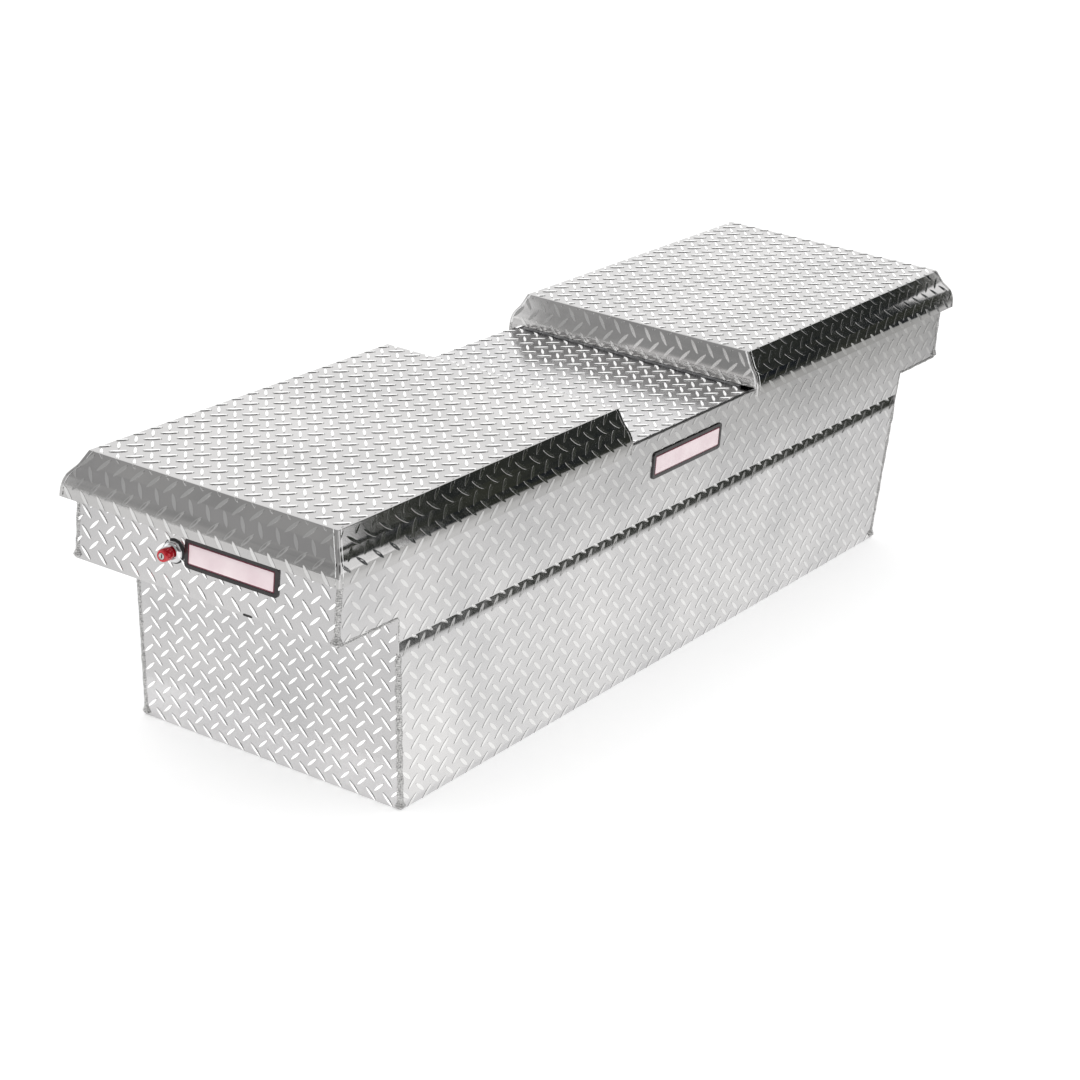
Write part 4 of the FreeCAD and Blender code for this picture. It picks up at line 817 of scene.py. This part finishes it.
# (across, up) of the bulb seal's section: clip foot with a round bulb on top
SEAL_SECTION = [(x * MM, z * MM) for x, z in (
    (-4.8, 0), (4.8, 0), (4.9, 1.6), (3.2, 2.4), (4.1, 3.7), (4.2, 5.3), (3.2, 6.9), (1.6, 7.8), (0, 8.0),
    (-1.6, 7.8), (-3.2, 6.9), (-4.2, 5.3), (-4.1, 3.7), (-3.2, 2.4), (-4.9, 1.6))]
for side_name, side in SIDES:
    low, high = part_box(f"{side_name}_lid_seal")
    centre = (low + high) / 2
    size = high - low
    path = rounded(size.x - SEAL_WIDE, size.y - SEAL_WIDE, SEAL_CORNER, steps=8)
    loops = []
    for k, (a, b) in enumerate(path):
        before, after = Vector(path[k - 1]), Vector(path[(k + 1) % len(path)])
        along = (after - before).normalized()
        aside = Vector((along.y, -along.x))
        loops.append([(centre.x + a + aside.x * x, centre.y + b + aside.y * x, low.z + z)
                      for x, z in SEAL_SECTION])
    points, faces = sweep(loops, closed_path=True)
    piece(f"{side_name}_bulb_seal", points, [f[::-1] for f in faces], RUBBER, "box", "seal_rubber",
          (f"{side_name}_lid_seal",), crease=40)

# ---------------------------------------------------------------- small turned parts
# profiles in millimetres: (distance along the axis, radius)
RIVET = ((-0.2, 0.2), (-0.2, 3), (0.3, 3), (0.9, 2.5), (1.3, 1.6), (1.5, 0.3))
PLUG = ((0, 0.3), (0, 9.2), (0.4, 9.9), (2, 10), (2, 13.6), (2.4, 14), (3.4, 14), (4, 13), (4, 8), (3.2, 7),
        (3.2, 0.3))
RIVET_WIDE, PLUG_R, RIVET_GAPS = 6 * MM, 14 * MM, 6
rivets, plugs = [], []
rivet_low, rivet_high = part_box("hinge_rivets")
plug_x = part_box("drain_plugs")[1].x - PLUG_R
for side_name, side in SIDES:
    for index in range(-RIVET_GAPS // 2, RIVET_GAPS // 2 + 1):
        y = index * (rivet_high.y - rivet_low.y - RIVET_WIDE) / RIVET_GAPS
        rivets.append(turned((side * (PANEL_HALF - PLATE), y, (rivet_low.z + rivet_high.z) / 2),
                             (-side, 0, 0), RIVET, steps=20))
    plugs.append(turned((side * plug_x, 0, 0), (0, 0, 1), PLUG))
piece("rivet_heads", *gather(rivets), HINGE_PAINTED_SHADE, "box", "hinge_steel", ("hinge_rivets",))
piece("rubber_plugs", *gather(plugs), RUBBER, "box", "seal_rubber", ("drain_plugs",))

# ---------------------------------------------------------------- CAD nodes that stay
FINISH = {
    "floor_panel": (SHEET, 0), "centre_top_panel": (TREAD, 0.5 * MM), "centre_stiffener": (SHEET, 0.4 * MM),
}
for side_name, side in SIDES:
    FINISH.update({
        f"{side_name}_wing_end_panel": (TREAD, 0.4 * MM), f"{side_name}_wing_floor": (TREAD, 0),
        f"{side_name}_tub_end_panel": (TREAD, 0), f"{side_name}_rain_gutter": (SHEET, 0.4 * MM),
        f"{side_name}_hinge_frame_leaf": (HINGE_PAINTED_SHADE, 0.2 * MM), f"{side_name}_hinge_lid_leaf": (HINGE_PAINTED_SHADE, 0.2 * MM),
        f"{side_name}_hinge_pin": (HINGE_PAINTED_SHADE, 0.2 * MM), f"{side_name}_lid_pan": (SHEET, 0.3 * MM),
        f"{side_name}_lid_stiffeners": (SHEET, 0.4 * MM), f"{side_name}_lock_nut": (ZINC, 0.4 * MM),
        f"{side_name}_latch_bracket": (ZINC, 0.4 * MM), f"{side_name}_latch_hook": (ZINC, 0.4 * MM),
        f"{side_name}_release_lever": (ZINC, 0.4 * MM), f"{side_name}_striker": (ZINC, 0.4 * MM),
        f"{side_name}_strut_bracket": (ZINC, 0.4 * MM), f"{side_name}_strut_lid_bracket": (ZINC, 0.4 * MM),
        f"{side_name}_strut_cylinder": (STRUT_BLACK, 0.6 * MM),
        f"{side_name}_strut_rod": (STRUT_CHROME, 0.4 * MM),
    })
for node, (material, edge) in FINISH.items():
    dress(node, material, edge)

# ---------------------------------------------------------------- studio
scene = bpy.context.scene
scene.view_settings.view_transform = "Standard"
WORLD_STRENGTH = 1.05
# darker areas that reflections see: direction, half angle (degrees) of the full part and of all of it, grey
DARK_PATCHES = (
    ((0, -0.15, 1), 26, 38, 0.28), ((-0.62, 0.49, 0.60), 22, 32, 0.36),
    ((-0.73, -0.50, 0.45), 18, 30, 0.07), ((-0.15, -0.88, 0.42), 16, 28, 0.05))


def studio_world():
    """White surroundings; reflections also see darker areas above and on the camera's side."""
    world = bpy.data.worlds.new("studio")
    scene.world = world
    world.use_nodes = True
    nodes, links = world.node_tree.nodes, world.node_tree.links
    background = nodes["Background"]
    direction = nodes.new("ShaderNodeTexCoord").outputs["Generated"]

    def patch(heading, inner, outer):
        dot = nodes.new("ShaderNodeVectorMath")
        dot.operation = "DOT_PRODUCT"
        dot.inputs[1].default_value = Vector(heading).normalized()
        links.new(direction, dot.inputs[0])
        return ranged(nodes, links, dot.outputs["Value"], 0, 1,
                      math.cos(math.radians(outer)), math.cos(math.radians(inner)))

    colour = (1.0, 1.0, 1.0)
    for heading, inner, outer, grey in DARK_PATCHES:
        colour = mixed(nodes, links, patch(heading, inner, outer), colour, (grey, grey, grey))
    diffuse = nodes.new("ShaderNodeLightPath").outputs["Is Diffuse Ray"]
    colour = mixed(nodes, links, diffuse, colour, (1.0, 1.0, 1.0))
    links.new(colour, background.inputs["Color"])
    background.inputs["Strength"].default_value = WORLD_STRENGTH


CLOUD_SCALE = 1.2
RIGHTWARD, OUTWARD = (-0.8, 1.8), (-0.60, -0.72)  # where the front card changes, along x and along y
NEAR_GREYS, FAR_GREYS = ((1.10, 1.10, 1.09), (0.72, 0.72, 0.72)), ((1.04, 1.04, 1.04), (0.46, 0.46, 0.45))


def emitter(name):
    """Stage material that only gives off light; its colour socket is left to be linked."""
    material = bpy.data.materials.new(name)
    material.use_nodes = True
    nodes, links = material.node_tree.nodes, material.node_tree.links
    nodes.remove(nodes["Principled BSDF"])
    glow = nodes.new("ShaderNodeEmission")
    links.new(glow.outputs["Emission"], nodes["Material Output"].inputs["Surface"])
    return material, nodes, links, nodes.new("ShaderNodeTexCoord").outputs["Object"], glow.inputs["Color"]


def glowing(name, first, second):
    """Even-lit stage material with a slow change between two colours."""
    material, nodes, links, coords, colour = emitter(name)
    cloud = ranged(nodes, links, noise_node(nodes, links, coords, CLOUD_SCALE), 0, 1)
    links.new(mixed(nodes, links, cloud, first, second), colour)
    return material


def graded(name):
    """Floor as the front reflects it: bright close to the box, greyer farther out and to the right."""
    material, nodes, links, coords, colour = emitter(name)
    split = nodes.new("ShaderNodeSeparateXYZ")
    links.new(coords, split.inputs[0])
    rightward = ranged(nodes, links, split.outputs["X"], 0, 1, *RIGHTWARD)
    outward = ranged(nodes, links, split.outputs["Y"], 0, 1, *OUTWARD)
    near = mixed(nodes, links, rightward, *NEAR_GREYS)
    far = mixed(nodes, links, rightward, *FAR_GREYS)
    links.new(mixed(nodes, links, outward, near, far), colour)
    return material


def staged(name, corners, material):
    """Four-cornered piece of the studio."""
    mesh = bpy.data.meshes.new(name)
    mesh.from_pydata(corners, [], [(0, 1, 2, 3)])
    mesh.materials.append(material)
    obj = bpy.data.objects.new(name, mesh)
    scene.collection.objects.link(obj)
    return obj


def mirrored(card):
    """Let a card show in reflections only."""
    card.visible_camera = False
    card.visible_diffuse = False
    card.visible_shadow = False


def floor_card(name, x_range, y_range, material):
    """Lying card that only shows in reflections, just above the floor."""
    (x0, x1), (y0, y1), z = x_range, y_range, 1 * MM
    mirrored(staged(name, [(x0, y0, z), (x1, y0, z), (x1, y1, z), (x0, y1, z)], material))


def flag(name, foot, head_start, head_end, material):
    """Standing card that only shows in reflections: foot is its two floor points."""
    (x0, y0), (x1, y1), z = *foot, 2 * MM
    mirrored(staged(name, [(x0, y0, z), (x1, y1, z), (x1, y1, head_end), (x0, y0, head_start)], material))


studio_world()
floor_card("front_card", (-3, 4), (-3.6, FRONT - 10 * MM), graded("front_card"))
floor_card("side_card", (-3.2, 100 * MM - WING_HALF), (FRONT, 3),
           glowing("side_card", (0.82, 0.82, 0.82), (0.90, 0.90, 0.895)))
flag("dark_flag", ((2.6, -0.75), (2.6, -3.8)), 2.6, 4.0,
     glowing("flag_dark", (0.006, 0.009, 0.016), (0.045, 0.048, 0.034)))
flag("grey_flag", ((-3.4, -0.4), (-3.4, 3.2)), 2.4, 2.4,
     glowing("flag_grey", (0.30, 0.302, 0.302), (0.44, 0.44, 0.435)))

floor_material, _, _, floor_bsdf = shader("floor_paper")
for socket, number in (("Base Color", (0.82, 0.82, 0.82, 1)), ("Roughness", 0.9), ("Specular IOR Level", 0.0),
                       ("Emission Color", (1, 1, 1, 1)), ("Emission Strength", 0.36)):
    floor_bsdf.inputs[socket].default_value = number
FAR = 40
staged("floor", [(-FAR, -FAR, 0), (FAR, -FAR, 0), (FAR, FAR, 0), (-FAR, FAR, 0)], floor_material)

# ---------------------------------------------------------------- camera
CAMERA_AT = Vector((-3.6868, -2.2325, 1.8149))
HEADING, DIP, ROLL = 1.021, 0.3713, 0.0836
SENSOR, LENS = 36, 93.9
ahead = Vector((math.sin(HEADING) * math.cos(DIP), math.cos(HEADING) * math.cos(DIP), -math.sin(DIP)))
right = Vector((math.cos(HEADING), -math.sin(HEADING), 0))
above = right.cross(ahead)
across = right * math.cos(ROLL) + above * math.sin(ROLL)
upward = above * math.cos(ROLL) - right * math.sin(ROLL)
camera = bpy.data.objects.new("camera", bpy.data.cameras.new("camera"))
scene.collection.objects.link(camera)
camera.matrix_world = Matrix((
    (across.x, upward.x, -ahead.x, CAMERA_AT.x),
    (across.y, upward.y, -ahead.y, CAMERA_AT.y),
    (across.z, upward.z, -ahead.z, CAMERA_AT.z),
    (0, 0, 0, 1)))
camera.data.sensor_width = SENSOR
camera.data.lens = LENS
scene.camera = camera
